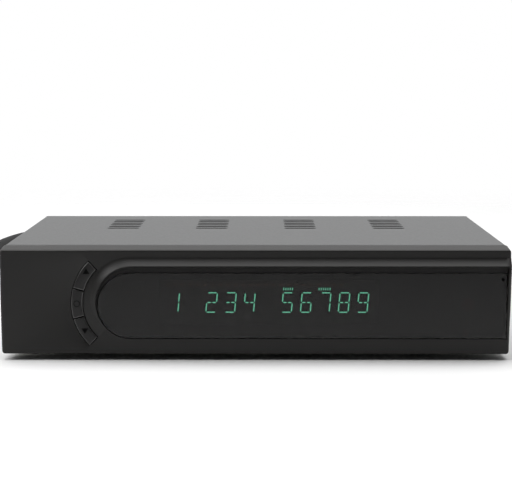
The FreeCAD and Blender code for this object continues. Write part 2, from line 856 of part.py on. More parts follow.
def chassis_base():
    """Bent tray: floor, low side and front flanges, and the rear panel with its openings."""
    body = new_body("chassis_base")
    floor = sketch(body, "XY_Plane", "floor_low")
    rectangle(floor, "-panel_half", "panel_half", "cover_front_y", "panel_y")
    pad(body, floor, "sheet")
    panel = upright(body, "panel_y")
    rectangle(panel, "-panel_half", "panel_half", "floor_low", "panel_top")
    pad(body, panel, "sheet")
    flanges = sketch(body, "XY_Plane", "floor_low")
    rectangle(flanges, "-panel_half", "-panel_half + sheet",
              "front_flange_y", "panel_y - sheet / 2")
    rectangle(flanges, "panel_half - sheet", "panel_half", "front_flange_y", "panel_y - sheet / 2")
    rectangle(flanges, "-panel_half + 2 * sheet", "panel_half - 2 * sheet",
              "front_flange_y", "front_flange_y + sheet")
    pad(body, flanges, "pan_flange")
    notch = upright(body, "front_flange_y")
    for sign in ("-", ""):
        rectangle(notch, f"{sign}lug_x - lug_width / 2 - 0.5", f"{sign}lug_x + lug_width / 2 + 0.5",
                  "floor_top", "floor_top + lug_thick + 0.5")
    pocket(body, notch, "sheet")
    ports = upright(body, "panel_in_y")
    circle(ports, "aerial_x", "foot_height + aerial_z", "aerial_radius + hole_gap")
    rectangle(ports, "usb_x - usb_width / 2 - hole_gap", "usb_x + usb_width / 2 + hole_gap",
              "usb_z - usb_height / 2 - hole_gap", "usb_z + usb_height / 2 + hole_gap")
    rectangle(ports, "video_x - video_width / 2 - hole_gap", "video_x + video_width / 2 + hole_gap",
              "video_z - video_height / 2 - hole_gap", "video_z + video_height / 2 + hole_gap")
    circle(ports, "audio_x", "foot_height + audio_z", "audio_radius + hole_gap")
    polygon(ports, scart_outline("(-hole_gap)"))
    circle(ports, "scart_x", "foot_height + scart_screw_z", "thread_radius + thread_gap")
    rectangle(ports, "cord_x - gland_neck_width / 2 - hole_gap",
              "cord_x + gland_neck_width / 2 + hole_gap",
              "foot_height + cord_z - gland_neck_height / 2 - hole_gap",
              "foot_height + cord_z + gland_neck_height / 2 + hole_gap")
    for x, z in COVER_SCREWS:
        circle(ports, x, z, "thread_radius + thread_gap")
    pocket(body, ports, "sheet")
    lug_holes = sketch(body, "XY_Plane", "floor_top")
    for sign in ("-", ""):
        circle(lug_holes, f"{sign}lug_x", "front_rear_y + lug_screw_y",
               "thread_radius + thread_gap")
    pocket(body, lug_holes, "sheet")
    slot = sketch(body, "XY_Plane", "floor_top")
    obround(slot, "-vent_spread * (vent_columns - 1) / 2 + 10", "vent_first_y - vent_pitch",
            "vent_length", "vent_width")
    first = pocket(body, slot, "sheet")
    grid(body, first, slot, "floor_vent_rows", "vent_pitch", "vent_columns", "vent_spread")


def front_panel():
    """Moulded front: a shallow box with the hooded lens recess, key slot and board posts."""
    body = new_body("front_panel")
    wide = "front_half"
    low = "foot_height"
    shell = upright(body, "front_rear_y")
    polygon(shell, [
        (f"-{wide} + side_tuck + foot_chamfer", low), (f"{wide} - side_tuck - foot_chamfer", low),
        (f"{wide} - side_tuck", f"{low} + foot_chamfer"), (wide, f"{low} + lens_z"),
        (wide, "case_top"), (f"-{wide}", "case_top"), (f"-{wide}", f"{low} + lens_z"),
        (f"-{wide} + side_tuck", f"{low} + foot_chamfer"),
    ])
    pad(body, shell, "front_depth")
    slope = sketch(body, "YZ_Plane", wide)
    polygon(slope, [
        ("front_rear_y", "case_top"), ("face_y - 1", "case_top - front_drop * (1 + 1 / front_depth)"),
        ("face_y - 1", "case_top + 1"), ("front_rear_y", "case_top + 1"),
    ])
    pocket(body, slope, "front_width")
    hollow = upright(body, "front_rear_y")
    rectangle(hollow, f"-{wide} + shell_wall + side_tuck", f"{wide} - shell_wall - side_tuck",
              f"{low} + shell_wall", "case_top - front_drop - shell_wall")
    pocket(body, hollow, "front_depth - front_wall", True)
    front_lip(body)
    posts = upright(body, "board_y")
    for x, z in POSTS:
        circle(posts, x, z, "post_radius")
    pad(body, posts, "board_y - wall_back_y + 0.5")
    pilots = upright(body, "board_y")
    for x, z in POSTS:
        circle(pilots, x, z, "thread_radius + thread_gap")
    pocket(body, pilots, "5.5", True)
    lugs = sketch(body, "XY_Plane", "floor_top")
    for sign in ("-", ""):
        rectangle(lugs, f"{sign}lug_x - lug_width / 2", f"{sign}lug_x + lug_width / 2",
                  "front_rear_y - 1", "front_rear_y + lug_reach")
    pad(body, lugs, "lug_thick")
    lug_pilots = sketch(body, "XY_Plane", "floor_top + lug_thick")
    for sign in ("-", ""):
        circle(lug_pilots, f"{sign}lug_x", "front_rear_y + lug_screw_y",
               "thread_radius + thread_gap")
    pocket(body, lug_pilots, "lug_thick")
    hood(body)
    seat = upright(body, "lens_back_y")
    bullet(seat, "lens_x", f"{low} + lens_z", "lens_radius + lens_gap", "lens_end + lens_gap")
    pocket(body, seat, "lens_sink + lens_thick + crest_proud", True)
    windows = upright(body, "wall_back_y")
    rectangle(windows, "window_x - window_width / 2", "window_x + window_width / 2",
              f"{low} + display_z - window_height / 2", f"{low} + display_z + window_height / 2")
    circle(windows, "infrared_x", f"{low} + infrared_z", "infrared_radius + 0.4")
    circle(windows, "lamp_x", f"{low} + lamp_z", "lamp_radius + 0.4")
    pocket(body, windows, "front_wall", True)
    ring = upright(body, "wall_back_y")
    ring_sector(ring, "key_x", f"{low} + key_z", "key_inner - key_gap", "key_outer + key_gap",
                "key_start - 0.8", "key_start + 3 * key_span + 0.8")
    pocket(body, ring, "front_wall + 0.5", True)


POSTS = [
    (x, f"foot_height + {z}")
    for x in ("post_left_x", "post_right_x") for z in ("post_low_z", "post_high_z")
]


def front_lip(body):
    """Rim behind the shell that slips inside the cover and over the floor."""
    lip = upright(body, "front_rear_y + lip_reach")
    rectangle(lip, "-panel_half", "panel_half", "floor_top + cover_gap", "panel_top")
    rectangle(lip, "-panel_half + lip_wall", "panel_half - lip_wall",
              "floor_top + cover_gap + lip_wall", "panel_top - lip_wall")
    pad(body, lip, "lip_reach + 1")


def hood(body):
    """Raised lip over the lens: it rises out of the face to a crest and drops to the lens."""
    low = "foot_height"
    root = upright(body, "face_y + flare_sink")
    bullet(root, "flare_x", f"{low} + flare_z - flare_shift", "flare_radius", "front_half")
    crest = tilted_crest(body, "0", "front_half")
    loft(body, "Additive", root, crest)
    floor = upright(body, "lens_back_y")
    bullet(floor, "lens_x", f"{low} + lens_z - brim_drop", "lens_radius - brim_drop",
           "lens_end + lens_gap")
    brim = tilted_crest(body, "crest_land", "lens_end + lens_gap")
    loft(body, "Subtractive", floor, brim)


def tilted_crest(body, inset, right):
    """Crest outline in a plane that leaves the face at hood_zero_z and leans forward."""
    plane = [item for item in body.Origin.OriginFeatures if item.Role == "XZ_Plane"][0]
    result = body.newObject("Sketcher::SketchObject", "Crest")
    result.AttachmentSupport = (plane, [""])
    result.MapMode = "FlatFace"
    result.AttachmentOffset = Placement(
        Vector(0, number("foot_height + hood_zero_z"), -number("face_y")),
        Rotation(Vector(1, 0, 0), number("hood_angle")))
    result.setExpression("AttachmentOffset.Base.y", bind("foot_height + hood_zero_z"))
    result.setExpression("AttachmentOffset.Base.z", bind("-face_y"))
    result.setExpression("AttachmentOffset.Rotation.Angle", bind("hood_angle"))
    bullet(result, "crest_x", "crest_z - hood_zero_z", f"crest_radius - {inset}", right)
    return result


def display_lens():
    """Smoked acrylic strip with one half-round end."""
    body = new_body("display_lens")
    outline = upright(body, "lens_back_y")
    bullet(outline, "lens_x", "foot_height + lens_z", "lens_radius", "lens_end")
    pad(body, outline, "lens_thick")


def rubber_feet():
    """Four round pads under the floor."""
    feet = []
    for x in ("-half + foot_inset_x", "half - foot_inset_x"):
        for y in ("face_y + foot_front", "rear_y - foot_rear"):
            feet.append(rod("foot", "Z", (x, y, "0"), "foot_radius", "foot_height"))
    keep(group("rubber_feet", *feet), "rubber_feet")


# ---- Keys and front board --------------------------------------------------------------------

KEYS = ("up", "ok", "down")


def key_angle(index):
    """Middle angle of a key, in degrees."""
    return f"(key_start + key_span * {index + 0.5})"


def key_spot(index):
    """Where a key presses its switch."""
    angle = key_angle(index)
    middle = "(key_inner + key_outer) / 2"
    return (f"key_x + {middle} * cos({angle})", f"foot_height + key_z + {middle} * sin({angle})")


def keys():
    """Three ring-shaped keys with a retaining flange and a stem, and their plungers."""
    low = "foot_height"
    for index, name in enumerate(KEYS):
        body = new_body(f"button_{name}")
        slack = "(key_gap / 2) / key_inner * 57.2958"
        start = f"key_start + key_span * {index} + {slack}"
        end = f"key_start + key_span * {index + 1} - {slack}"
        cap = upright(body, "wall_back_y + key_play")
        ring_sector(cap, "key_x", f"{low} + key_z", "key_inner", "key_outer", start, end)
        pad(body, cap, "front_wall + key_play + key_proud")
        flange = upright(body, "key_back_y")
        ring_sector(flange, "key_x", f"{low} + key_z", "key_inner - key_flange",
                    "key_outer + key_flange", start, end)
        pad(body, flange, "key_flange_thick")
        x, z = key_spot(index)
        stem = upright(body, "plunger_y")
        circle(stem, x, z, "key_stem")
        pad(body, stem, "plunger_y - key_back_y")
        plunger = rod(f"plunger_{name}", "Y", (x, "plunger_y", z),
                      "plunger_radius", "plunger_out + plunger_in")
        keep(plunger, f"plunger_{name}")


def switch_bodies():
    """Three push switches, each with a bore for its plunger."""
    bodies = []
    reach = "switch_size / 2"
    for index in range(len(KEYS)):
        x, z = key_spot(index)
        case = block("switch_case", (f"{x} - {reach}", f"{x} + {reach}"), ("switch_y", "board_y"),
                     (f"{z} - {reach}", f"{z} + {reach}"))
        bore = rod("switch_hole", "Y", (x, "switch_y", z), "switch_bore", "switch_depth")
        bodies.append(cut("switch", case, bore))
    keep(group("switch_bodies", *bodies), "switch_bodies")


def drilled_board(label, plane_sketch, outline, holes, thick):
    """Circuit board with round holes."""
    body = new_body(label)
    plate = plane_sketch(body)
    rectangle(plate, *outline)
    for x, y in holes:
        circle(plate, x, y, "thread_radius + 2 * thread_gap")
    pad(body, plate, thick)


def front_board():
    """Upright board behind the front, with display, receiver eye, lamp and screws."""
    drilled_board("front_board", lambda body: upright(body, "board_back_y"),
                  ("front_board_left", "front_board_right",
                   "foot_height + front_board_low", "foot_height + front_board_high"),
                  POSTS, "board_thick")
    low = "foot_height"
    middle = f"{low} + display_z"
    keep(block("display_tube",
               ("window_x - display_width / 2", "window_x + display_width / 2"),
               ("board_y - display_thick", "board_y"),
               (f"{middle} - display_height / 2", f"{middle} + display_height / 2")),
         "display_tube")
    eye_z = f"{low} + infrared_z"
    eye = fuse("eye",
               block("eye_case", ("infrared_x - infrared_size / 2", "infrared_x + infrared_size / 2"),
                     ("board_y - infrared_depth", "board_y"),
                     (f"{eye_z} - infrared_size / 2", f"{eye_z} + infrared_size / 2")),
               rod("eye_dome", "Y", ("infrared_x", "board_y - infrared_length", eye_z),
                   "infrared_radius", "infrared_length"))
    keep(eye, "ir_receiver")
    lamp_z = f"{low} + lamp_z"
    lamp = fuse("lamp",
                rod("lamp_dome", "Y", ("lamp_x", "board_y - lamp_length", lamp_z),
                    "lamp_radius", "lamp_length"),
                rod("lamp_rim", "Y", ("lamp_x", "board_y - lamp_rim_thick", lamp_z),
                    "lamp_radius + lamp_rim", "lamp_rim_thick"))
    keep(lamp, "status_led")
    screws = [pin_screw("post_screw", "-Y", x, "board_back_y", z, "screw_length")
              for x, z in POSTS]
    keep(group("front_board_screws", *screws), "front_board_screws")
    ribbon()


def ribbon():
    """Two sockets and the flat cable between the front board and the main board."""
    half_width = "(ribbon_width / 2 + 1)"
    across = (f"ribbon_x - {half_width}", f"ribbon_x + {half_width}")
    level = "foot_height + ribbon_z"
    end_y = "board_back_y + socket_depth"
    main_socket_y = "main_front + socket_height"
    rear = block("socket", across, ("board_back_y", end_y),
                 (f"{level} - socket_height / 2", f"{level} + socket_height / 2"))
    main = block("socket", across, ("main_front + 1", f"{main_socket_y} + 1"),
                 ("main_top", "main_top + socket_depth"))
    keep(group("ribbon_sockets", rear, main), "ribbon_sockets")
    body = new_body("ribbon_cable")
    strip = sketch(body, "YZ_Plane", "ribbon_x - ribbon_width / 2")
    drop_y = "(main_front + 1 + socket_height / 2)"
    polygon(strip, [
        (end_y, f"{level} - ribbon_thick / 2"),
        (f"{drop_y} - ribbon_thick / 2", f"{level} - ribbon_thick / 2"),
        (f"{drop_y} - ribbon_thick / 2", "main_top + socket_depth"),
        (f"{drop_y} + ribbon_thick / 2", "main_top + socket_depth"),
        (f"{drop_y} + ribbon_thick / 2", f"{level} + ribbon_thick / 2"),
        (end_y, f"{level} + ribbon_thick / 2"),
    ])
    pad(body, strip, "ribbon_width")


# ---- Main board ------------------------------------------------------------------------------

MAIN_HOLES = [
    ("main_left + screw_inset", "main_front + screw_inset"),
    ("main_right - screw_inset", "main_front + screw_inset"),
    ("main_left + screw_inset", "main_rear - main_hole_rear"),
    ("main_right - screw_inset", "main_rear - screw_inset"),
]
POWER_HOLES = [
    (x, y)
    for x in ("power_left + screw_inset", "power_right - screw_inset")
    for y in ("power_front + screw_inset", "power_rear - screw_inset")
]


def board_fixings():
    """Standoffs on the floor and the screws that hold both boards to them."""
    pillars = []
    screws = []
    for x, y in MAIN_HOLES + POWER_HOLES:
        pillar = rod("pillar", "Z", (x, y, "floor_top"), "standoff_radius", "board_low - floor_top")
        bore = rod("pillar_bore", "Z", (x, y, "floor_top"), "thread_radius + thread_gap",
                   "board_low - floor_top")
        pillars.append(cut("standoff", pillar, bore))
        screws.append(pin_screw("board_screw", "-Z", x, y, "main_top", "screw_length - 0.4"))
    keep(group("board_standoffs", *pillars), "board_standoffs")
    keep(group("board_screws", *screws), "board_screws")


def chip(name, x, y, width, depth, height):
    """Flat box on the main board, centred at x, y."""
    return block(name, (f"{x} - {width} / 2", f"{x} + {width} / 2"),
                 (f"{y} - {depth} / 2", f"{y} + {depth} / 2"),
                 ("main_top", f"main_top + {height}"))


def can(name, x, y, radius, height):
    """Upright round can on a board, centred at x, y."""
    return rod(name, "Z", (x, y, "main_top"), radius, height)


def main_board():
    """Receiver board with its processor, memory, tuner and regulators."""
    drilled_board("main_board", lambda body: sketch(body, "XY_Plane", "board_low"),
                  ("main_left", "main_right", "main_front", "main_rear"),
                  MAIN_HOLES, "board_thick")
    keep(chip("processor", "chip_x", "chip_y", "chip_size", "chip_size", "chip_height"),
         "main_chip")
    memory = [chip("memory", "chip_x - memory_gap", f"chip_y + {row} * memory_pitch",
                   "memory_width", "memory_depth", "memory_height") for row in range(2)]
    memory.append(chip("clock", "chip_x + clock_gap", "chip_y", "clock_width", "clock_depth",
                       "clock_height"))
    keep(group("memory_chips", *memory), "memory_chips")
    heat_sink()
    places = [(f"main_right - front_pair_inset - {column} * capacitor_pitch",
               "main_front + front_pair_back") for column in range(2)]
    places += [(f"main_left + left_group_inset + {column} * capacitor_pitch",
                f"main_front + left_group_back + {row} * capacitor_pitch")
               for column, row in ((0, 0), (0, 1), (1, 0))]
    cans = [can("capacitor", x, y, "capacitor_radius", "capacitor_height") for x, y in places]
    keep(group("board_capacitors", *cans), "board_capacitors")
    coils = [chip("inductor", f"main_left + inductor_inset + {column} * inductor_pitch",
                  "main_front + inductor_back", "inductor_size", "inductor_size",
                  "inductor_height") for column in range(3)]
    keep(group("power_inductors", *coils), "power_inductors")
    tuner = block("tuner", ("aerial_x - can_width / 2", "aerial_x + can_width / 2"),
                  ("panel_in_y - can_depth", "panel_in_y"), ("main_top", "main_top + can_height"))
    keep(tuner, "tuner_can")


def heat_sink():
    """Finned aluminium block on the processor."""
    body = new_body("heat_sink")
    plate = sketch(body, "XY_Plane", "main_top + chip_height")
    rectangle(plate, "chip_x - sink_size / 2", "chip_x + sink_size / 2",
              "chip_y - sink_size / 2", "chip_y + sink_size / 2")
    pad(body, plate, "sink_height")
    pitch = "((sink_size - (sink_size - (sink_fins - 1) * fin_slot) / sink_fins) / (sink_fins - 1))"
    fin = "((sink_size - (sink_fins - 1) * fin_slot) / sink_fins)"
    gap = sketch(body, "XY_Plane", "main_top + chip_height + sink_height")
    rectangle(gap, f"chip_x - sink_size / 2 + {fin}", f"chip_x - sink_size / 2 + {fin} + fin_slot",
              "chip_y - sink_size / 2 - 1", "chip_y + sink_size / 2 + 1")
    first = pocket(body, gap, "sink_height - sink_base")
    pattern = body.newObject("PartDesign::LinearPattern", "Slots")
    pattern.Originals = [first]
    pattern.Direction = (gap, ["H_Axis"])
    follow(pattern, Length=f"(sink_fins - 2) * {pitch}", Occurrences="sink_fins - 1")
    body.Tip = pattern
    doc.recompute()


# ---- Rear sockets ----------------------------------------------------------------------------

def aerial_connector():
    """Threaded aerial connector with its insulator, nut and toothed washer."""
    z = "foot_height + aerial_z"
    reach = "aerial_reach + sheet"
    root = "sheet + washer_thick + nut_thick + aerial_root_gap"
    barrel = fuse("barrel",
                  rod("barrel_root", "Y", ("aerial_x", "panel_in_y", z), "aerial_root_radius",
                      f"{root} + 1"),
                  rod("barrel_thread", "Y", ("aerial_x", f"panel_in_y + {root}", z),
                      "aerial_radius", f"{reach} - aerial_tip - ({root})"),
                  rod("barrel_tip", "Y", ("aerial_x", "panel_in_y + sheet", z),
                      "aerial_tip_radius", "aerial_reach"))
    hollow = rod("barrel_bore", "Y", ("aerial_x", "panel_in_y", z), "aerial_bore", reach)
    keep(cut("f_barrel", barrel, hollow), "f_barrel")
    core = rod("core", "Y", ("aerial_x", "panel_in_y", z), "aerial_bore", f"{reach} - 0.4")
    pin_hole = rod("pin_hole", "Y", ("aerial_x", "panel_in_y + 3", z), "aerial_pin_hole", reach)
    keep(cut("f_insulator", core, pin_hole), "f_insulator")
    ring = cut("washer",
               rod("washer_disc", "Y", ("aerial_x", "panel_y", z), "washer_radius", "washer_thick"),
               rod("washer_hole", "Y", ("aerial_x", "panel_y", z), "aerial_radius + hole_gap",
                   "washer_thick"))
    keep(ring, "f_washer")
    hexagon = doc.addObject("Part::Prism", "hexagon")
    hexagon.Polygon = 6
    hexagon.Placement = Placement(Vector(), TURNS["Y"].multiply(Rotation(Vector(0, 0, 1), 30)))
    follow(hexagon, Circumradius="nut_across / 2 / cos(30)", Height="nut_thick",
           Placement__Base__x="aerial_x", Placement__Base__y="panel_y + washer_thick",
           Placement__Base__z=z)
    thread = rod("nut_hole", "Y", ("aerial_x", "panel_y", z), "aerial_root_radius",
                 "washer_thick + nut_thick + 1")
    keep(cut("f_nut", hexagon, thread), "f_nut")


def usb_socket():
    """Upright serial bus socket: steel shell, and insulator with its tongue."""
    front = "panel_y + usb_reach"
    back = "panel_y - usb_depth"
    x = ("usb_x - usb_width / 2", "usb_x + usb_width / 2")
    z = ("usb_z - usb_height / 2", "usb_z + usb_height / 2")
    inner_x = (f"{x[0]} + shell_thick", f"{x[1]} - shell_thick")
    inner_z = (f"{z[0]} + shell_thick", f"{z[1]} - shell_thick")
    keep(cut("usb_shell", block("usb_case", x, (back, front), z),
             block("usb_mouth", inner_x, (back, front), inner_z)), "usb_shell")
    root = block("usb_root", inner_x, (back, f"{back} + tongue_root"), inner_z)
    middle = "usb_x + 0.5"
    blade = block("usb_blade",
                  (f"{middle} - usb_tongue_thick / 2", f"{middle} + usb_tongue_thick / 2"),
                  (back, f"{front} - tongue_sink"),
                  ("usb_z - usb_tongue_height / 2", "usb_z + usb_tongue_height / 2"))
    keep(fuse("usb_tongue", root, blade), "usb_tongue")


def video_profile(profile, inset):
    """Digital video socket outline with its two lower corners cut off."""
    side = f"(video_width / 2 - {inset})"
    low = f"video_z - video_height / 2 + {inset}"
    high = f"video_z + video_height / 2 - {inset}"
    run = f"(video_chamfer - {inset} / 2)"
    rise = "(video_chamfer * 0.8)"
    polygon(profile, [
        (f"video_x - {side} + {run}", low), (f"video_x + {side} - {run}", low),
        (f"video_x + {side}", f"{low} + {rise}"), (f"video_x + {side}", high),
        (f"video_x - {side}", high), (f"video_x - {side}", f"{low} + {rise}"),
    ])


def video_socket():
    """Digital video socket: shell and tongue."""
    shell = new_body("hdmi_shell")
    ring = upright(shell, "panel_y + video_reach")
    video_profile(ring, "0")
    video_profile(ring, "shell_thick")
    pad(shell, ring, "video_reach + video_depth")
    core = new_body("hdmi_tongue")
    root = upright(core, "panel_y - video_depth + tongue_root")
    video_profile(root, "shell_thick")
    pad(core, root, "tongue_root")
    blade = upright(core, "panel_y + video_reach - tongue_sink")
    rectangle(blade, "video_x - video_tongue_width / 2", "video_x + video_tongue_width / 2",
              "video_z + 0.2 - video_tongue_thick / 2", "video_z + 0.2 + video_tongue_thick / 2")
    pad(core, blade, "video_reach + video_depth - tongue_sink")


def audio_socket():
    """Coaxial audio socket: metal ring round a moulded body with the centre bore."""
    z = "foot_height + audio_z"
    reach = "sheet + audio_reach"
    sleeve = fuse("sleeve",
                  rod("ring_root", "Y", ("audio_x", "panel_in_y", z),
                      "audio_radius - audio_root_relief", "sheet + audio_root + 1"),
                  rod("ring_out", "Y", ("audio_x", "panel_y + audio_root", z), "audio_radius",
                      "audio_reach - audio_root"))
    ring = cut("audio_ring", sleeve,
               rod("ring_in", "Y", ("audio_x", "panel_in_y", z), "audio_inner", reach))
    keep(ring, "rca_ring")
    case = block("audio_case", ("audio_x - audio_body / 2", "audio_x + audio_body / 2"),
                 ("panel_in_y - audio_body_depth", "panel_in_y"),
                 ("main_top", f"{z} + audio_body / 2"))
    core = rod("audio_core", "Y", ("audio_x", "panel_in_y", z), "audio_inner",
               f"{reach} - audio_sink")
    bore = rod("audio_hole", "Y", ("audio_x", "panel_y + audio_reach - audio_bore_depth", z),
               "audio_bore", "audio_bore_depth")
    keep(cut("rca_body", fuse("audio_solid", case, core), bore), "rca_body")


def scart_rows():
    """X and Z of each contact: ten above and eleven below."""
    spots = []
    for count, sign in ((10, "+"), (11, "-")):
        for index in range(count):
            step = index - (count - 1) / 2
            spots.append((f"scart_x + ({step}) * scart_pitch",
                          f"foot_height + scart_z {sign} scart_row"))
    return spots


def scart_socket():
    """Peritelevision socket: housing with a groove round its contact block, and the blades."""
    body = new_body("scart_housing")
    mouth = upright(body, "scart_face_y")
    polygon(mouth, scart_outline("0"))
    pad(body, mouth, "scart_face_y - scart_neck_y")
    rear = upright(body, "scart_neck_y + 0.5")
    rectangle(rear, "scart_left + 0.5", "scart_right - 0.5", "main_top", "scart_high")
    pad(body, rear, "scart_body_depth")
    lug = upright(body, "panel_in_y")
    rectangle(lug, "scart_x - scart_lug_width / 2", "scart_x + scart_lug_width / 2",
              "scart_high - 1", "foot_height + scart_screw_z + scart_lug_rise")
    pad(body, lug, "scart_lug_thick")
    groove = upright(body, "scart_face_y - scart_groove")
    polygon(groove, scart_outline("scart_wall"))
    rectangle(groove, "scart_x - scart_block_width / 2", "scart_x + scart_block_width / 2",
              "foot_height + scart_z - scart_block_height / 2",
              "foot_height + scart_z + scart_block_height / 2")
    pocket(body, groove, "scart_groove")
    slots = upright(body, "scart_face_y - scart_slot_depth")
    for x, z in scart_rows():
        rectangle(slots, f"{x} - scart_slot_width / 2", f"{x} + scart_slot_width / 2",
                  f"{z} - scart_slot_height / 2", f"{z} + scart_slot_height / 2")
    pocket(body, slots, "scart_slot_depth")
    pilot = upright(body, "panel_in_y - scart_lug_thick")
    circle(pilot, "scart_x", "foot_height + scart_screw_z", "thread_radius + thread_gap")
    pocket(body, pilot, "scart_lug_thick")
    blades = []
    root = "scart_face_y - scart_slot_depth"
    for x, z in scart_rows():
        blades.append(block("blade", (f"{x} - scart_blade / 2", f"{x} + scart_blade / 2"),
                            (root, f"{root} + scart_blade_length"),
                            (f"{z} - scart_blade_height / 2", f"{z} + scart_blade_height / 2")))
    keep(group("scart_contacts", *blades), "scart_contacts")


def case_screws():
    """Cover screws, the socket's earthing screw with its washer, and the front's two screws."""
    cover = [pin_screw("cover_screw", "-Y", x, "rear_y", z, "screw_length",
                       "cover_head_radius", "cover_head_height")
             for x, z in COVER_SCREWS]
    keep(group("cover_screws", *cover), "cover_screws")
    z = "foot_height + scart_screw_z"
    keep(pin_screw("scart_screw", "-Y", "scart_x", "panel_y + scart_washer_thick", z,
                   "scart_washer_thick + sheet + scart_screw_length",
                   "scart_screw_head", "scart_screw_head_height"), "scart_screw")
    disc = rod("disc", "Y", ("scart_x", "panel_y", z), "scart_washer_radius", "scart_washer_thick")
    hole = rod("disc_hole", "Y", ("scart_x", "panel_y", z), "thread_radius + thread_gap",
               "scart_washer_thick")
    keep(cut("scart_washer", disc, hole), "scart_washer")
    front = [pin_screw("front_screw", "+Z", f"{sign}lug_x", "front_rear_y + lug_screw_y",
                       "floor_low", "sheet + lug_thick - 0.2",
                       "lug_head_radius", "lug_head_height")
             for sign in ("-", "")]
    keep(group("front_panel_screws", *front), "front_panel_screws")


# ---- Power supply ----------------------------------------------------------------------------

def power_supply():
    """Mains board beside the cord entry."""
    drilled_board("power_board", lambda body: sketch(body, "XY_Plane", "board_low"),
                  ("power_left", "power_right", "power_front", "power_rear"),
                  POWER_HOLES, "board_thick")
    transformer()
    keep(can("mains_capacitor", "mains_cap_x", "mains_cap_y", "mains_cap_radius",
             "mains_cap_height"), "mains_capacitor")
    keep(chip("line_choke", "choke_x", "choke_y", "choke_width", "choke_depth", "choke_height"),
         "line_choke")
    filters = [
        chip("filter_capacitor", "filter_x", "filter_y", "filter_width", "filter_depth",
             "filter_height"),
        chip("filter_capacitor", "power_right - small_filter_inset",
             "fuse_y - small_filter_shift", "small_filter_width", "small_filter_depth",
             "small_filter_height"),
    ]
    keep(group("safety_capacitors", *filters), "safety_capacitors")
    keep(can("fuse", "fuse_x", "fuse_y", "fuse_radius", "fuse_height"), "fuse")
    outputs = [can("output_capacitor", "power_right - output_inset",
                   f"transformer_y - output_shift + {index} * output_pitch",
                   "output_radius", "output_height") for index in range(3)]
    keep(group("output_capacitors", *outputs), "output_capacitors")
    wiring()


def transformer():
    """Ferrite frame with the wound bobbin through it."""
    x = "transformer_x"
    y = "transformer_y"
    sill = "main_top + (core_height - window_rise) / 2"
    frame = block("frame", (f"{x} - core_width / 2", f"{x} + core_width / 2"),
                  (f"{y} - core_depth / 2", f"{y} + core_depth / 2"),
                  ("main_top", "main_top + core_height"))
    gap = block("frame_window", (f"{x} - window_span / 2", f"{x} + window_span / 2"),
                (f"{y} - core_depth / 2", f"{y} + core_depth / 2"),
                (sill, f"{sill} + window_rise"))
    keep(cut("core", frame, gap), "transformer_core")
    keep(block("winding", (f"{x} - window_span / 2", f"{x} + window_span / 2"),
               (f"{y} - winding_depth / 2", f"{y} + winding_depth / 2"),
               (sill, f"{sill} + window_rise")), "transformer_winding")


def wiring():
    """Mains terminal, the two supply sockets, and the wires between them."""
    terminal = chip("terminal", "cord_x", "terminal_y", "terminal_width", "terminal_depth",
                    "terminal_height")
    ends = ("power_right - supply_inset", "main_left + supply_inset")
    sockets = [chip("supply_socket", x, "supply_y", "supply_width", "supply_depth",
                    "supply_height") for x in ends]
    keep(group("wire_sockets", terminal, *sockets), "wire_sockets")
    wires = []
    base = number("main_top + supply_height")
    rise = number("wire_rise")
    left, right = (number(x) for x in ends)
    for step in (-1.5, -0.5, 0.5, 1.5):
        y = number(f"supply_y + ({step}) * wire_pitch")
        wires.append(pipe([(left, y, base), (left, y, base + rise),
                           (right, y, base + rise), (right, y, base)], number("wire_radius")))
    inner_y = number("panel_in_y - gland_inner")
    outlet = number("terminal_y")
    height = number("foot_height + cord_z")
    for side in (-1, 1):
        x = number(f"cord_x + ({side}) * mains_wire_spread")
        wires.append(pipe([(x, inner_y, height), (x, outlet, height),
                           (x, outlet, number("main_top + terminal_height"))],
                          number("mains_wire_radius")))
    harness = doc.addObject("Part::Feature", "power_harness")
    harness.Shape = Part.makeCompound(wires)
    keep(harness, "power_harness")


# ---- Mains cord ------------------------------------------------------------------------------

def rounded_route(points, report=False):
    """Wire of straight runs joined by tangent arcs, as large as the runs allow."""
    spots = [Vector(*point) for point in points]
    edges = []
    start = spots[0]
    for before, corner, after in zip(spots, spots[1:], spots[2:]):
        run_in = corner - before
        run_out = after - corner
        half_turn = run_in.getAngle(run_out) / 2
        leg = 0.45 * min(run_in.Length, run_out.Length)
        entry = corner - run_in.normalize() * leg
        leave = corner + run_out.normalize() * leg
        radius = leg / math.tan(half_turn)
        if report:
            print(f"bend radius {radius:.1f} mm, turn {math.degrees(2 * half_turn):.0f} deg")
        centre_way = (run_out - run_in).normalize()
        middle = corner + centre_way * (radius / math.cos(half_turn) - radius)
        edges.append(Part.makeLine(start, entry))
        edges.append(Part.Arc(entry, middle, leave).toShape())
        start = leave
    edges.append(Part.makeLine(start, spots[-1]))
    return Part.Wire(edges)


def pipe(points, radius, end_radius=None, report=False):
    """Solid round rod along a rounded route, tapered if an end radius is given."""
    route = rounded_route(points, report)
    way = Vector(*points[1]) - Vector(*points[0])
    profiles = [Part.Wire(Part.makeCircle(radius, Vector(*points[0]), way))]
    if end_radius is not None:
        last = Vector(*points[-1]) - Vector(*points[-2])
        profiles.append(Part.Wire(Part.makeCircle(end_radius, Vector(*points[-1]), last)))
    solid = route.makePipeShell(profiles, True, False)
    if report:
        expected = math.pi * radius ** 2 * route.Length
        print(f"cord run {route.Length:.1f} mm, volume {solid.Volume / expected:.4f} of expected")
    return solid


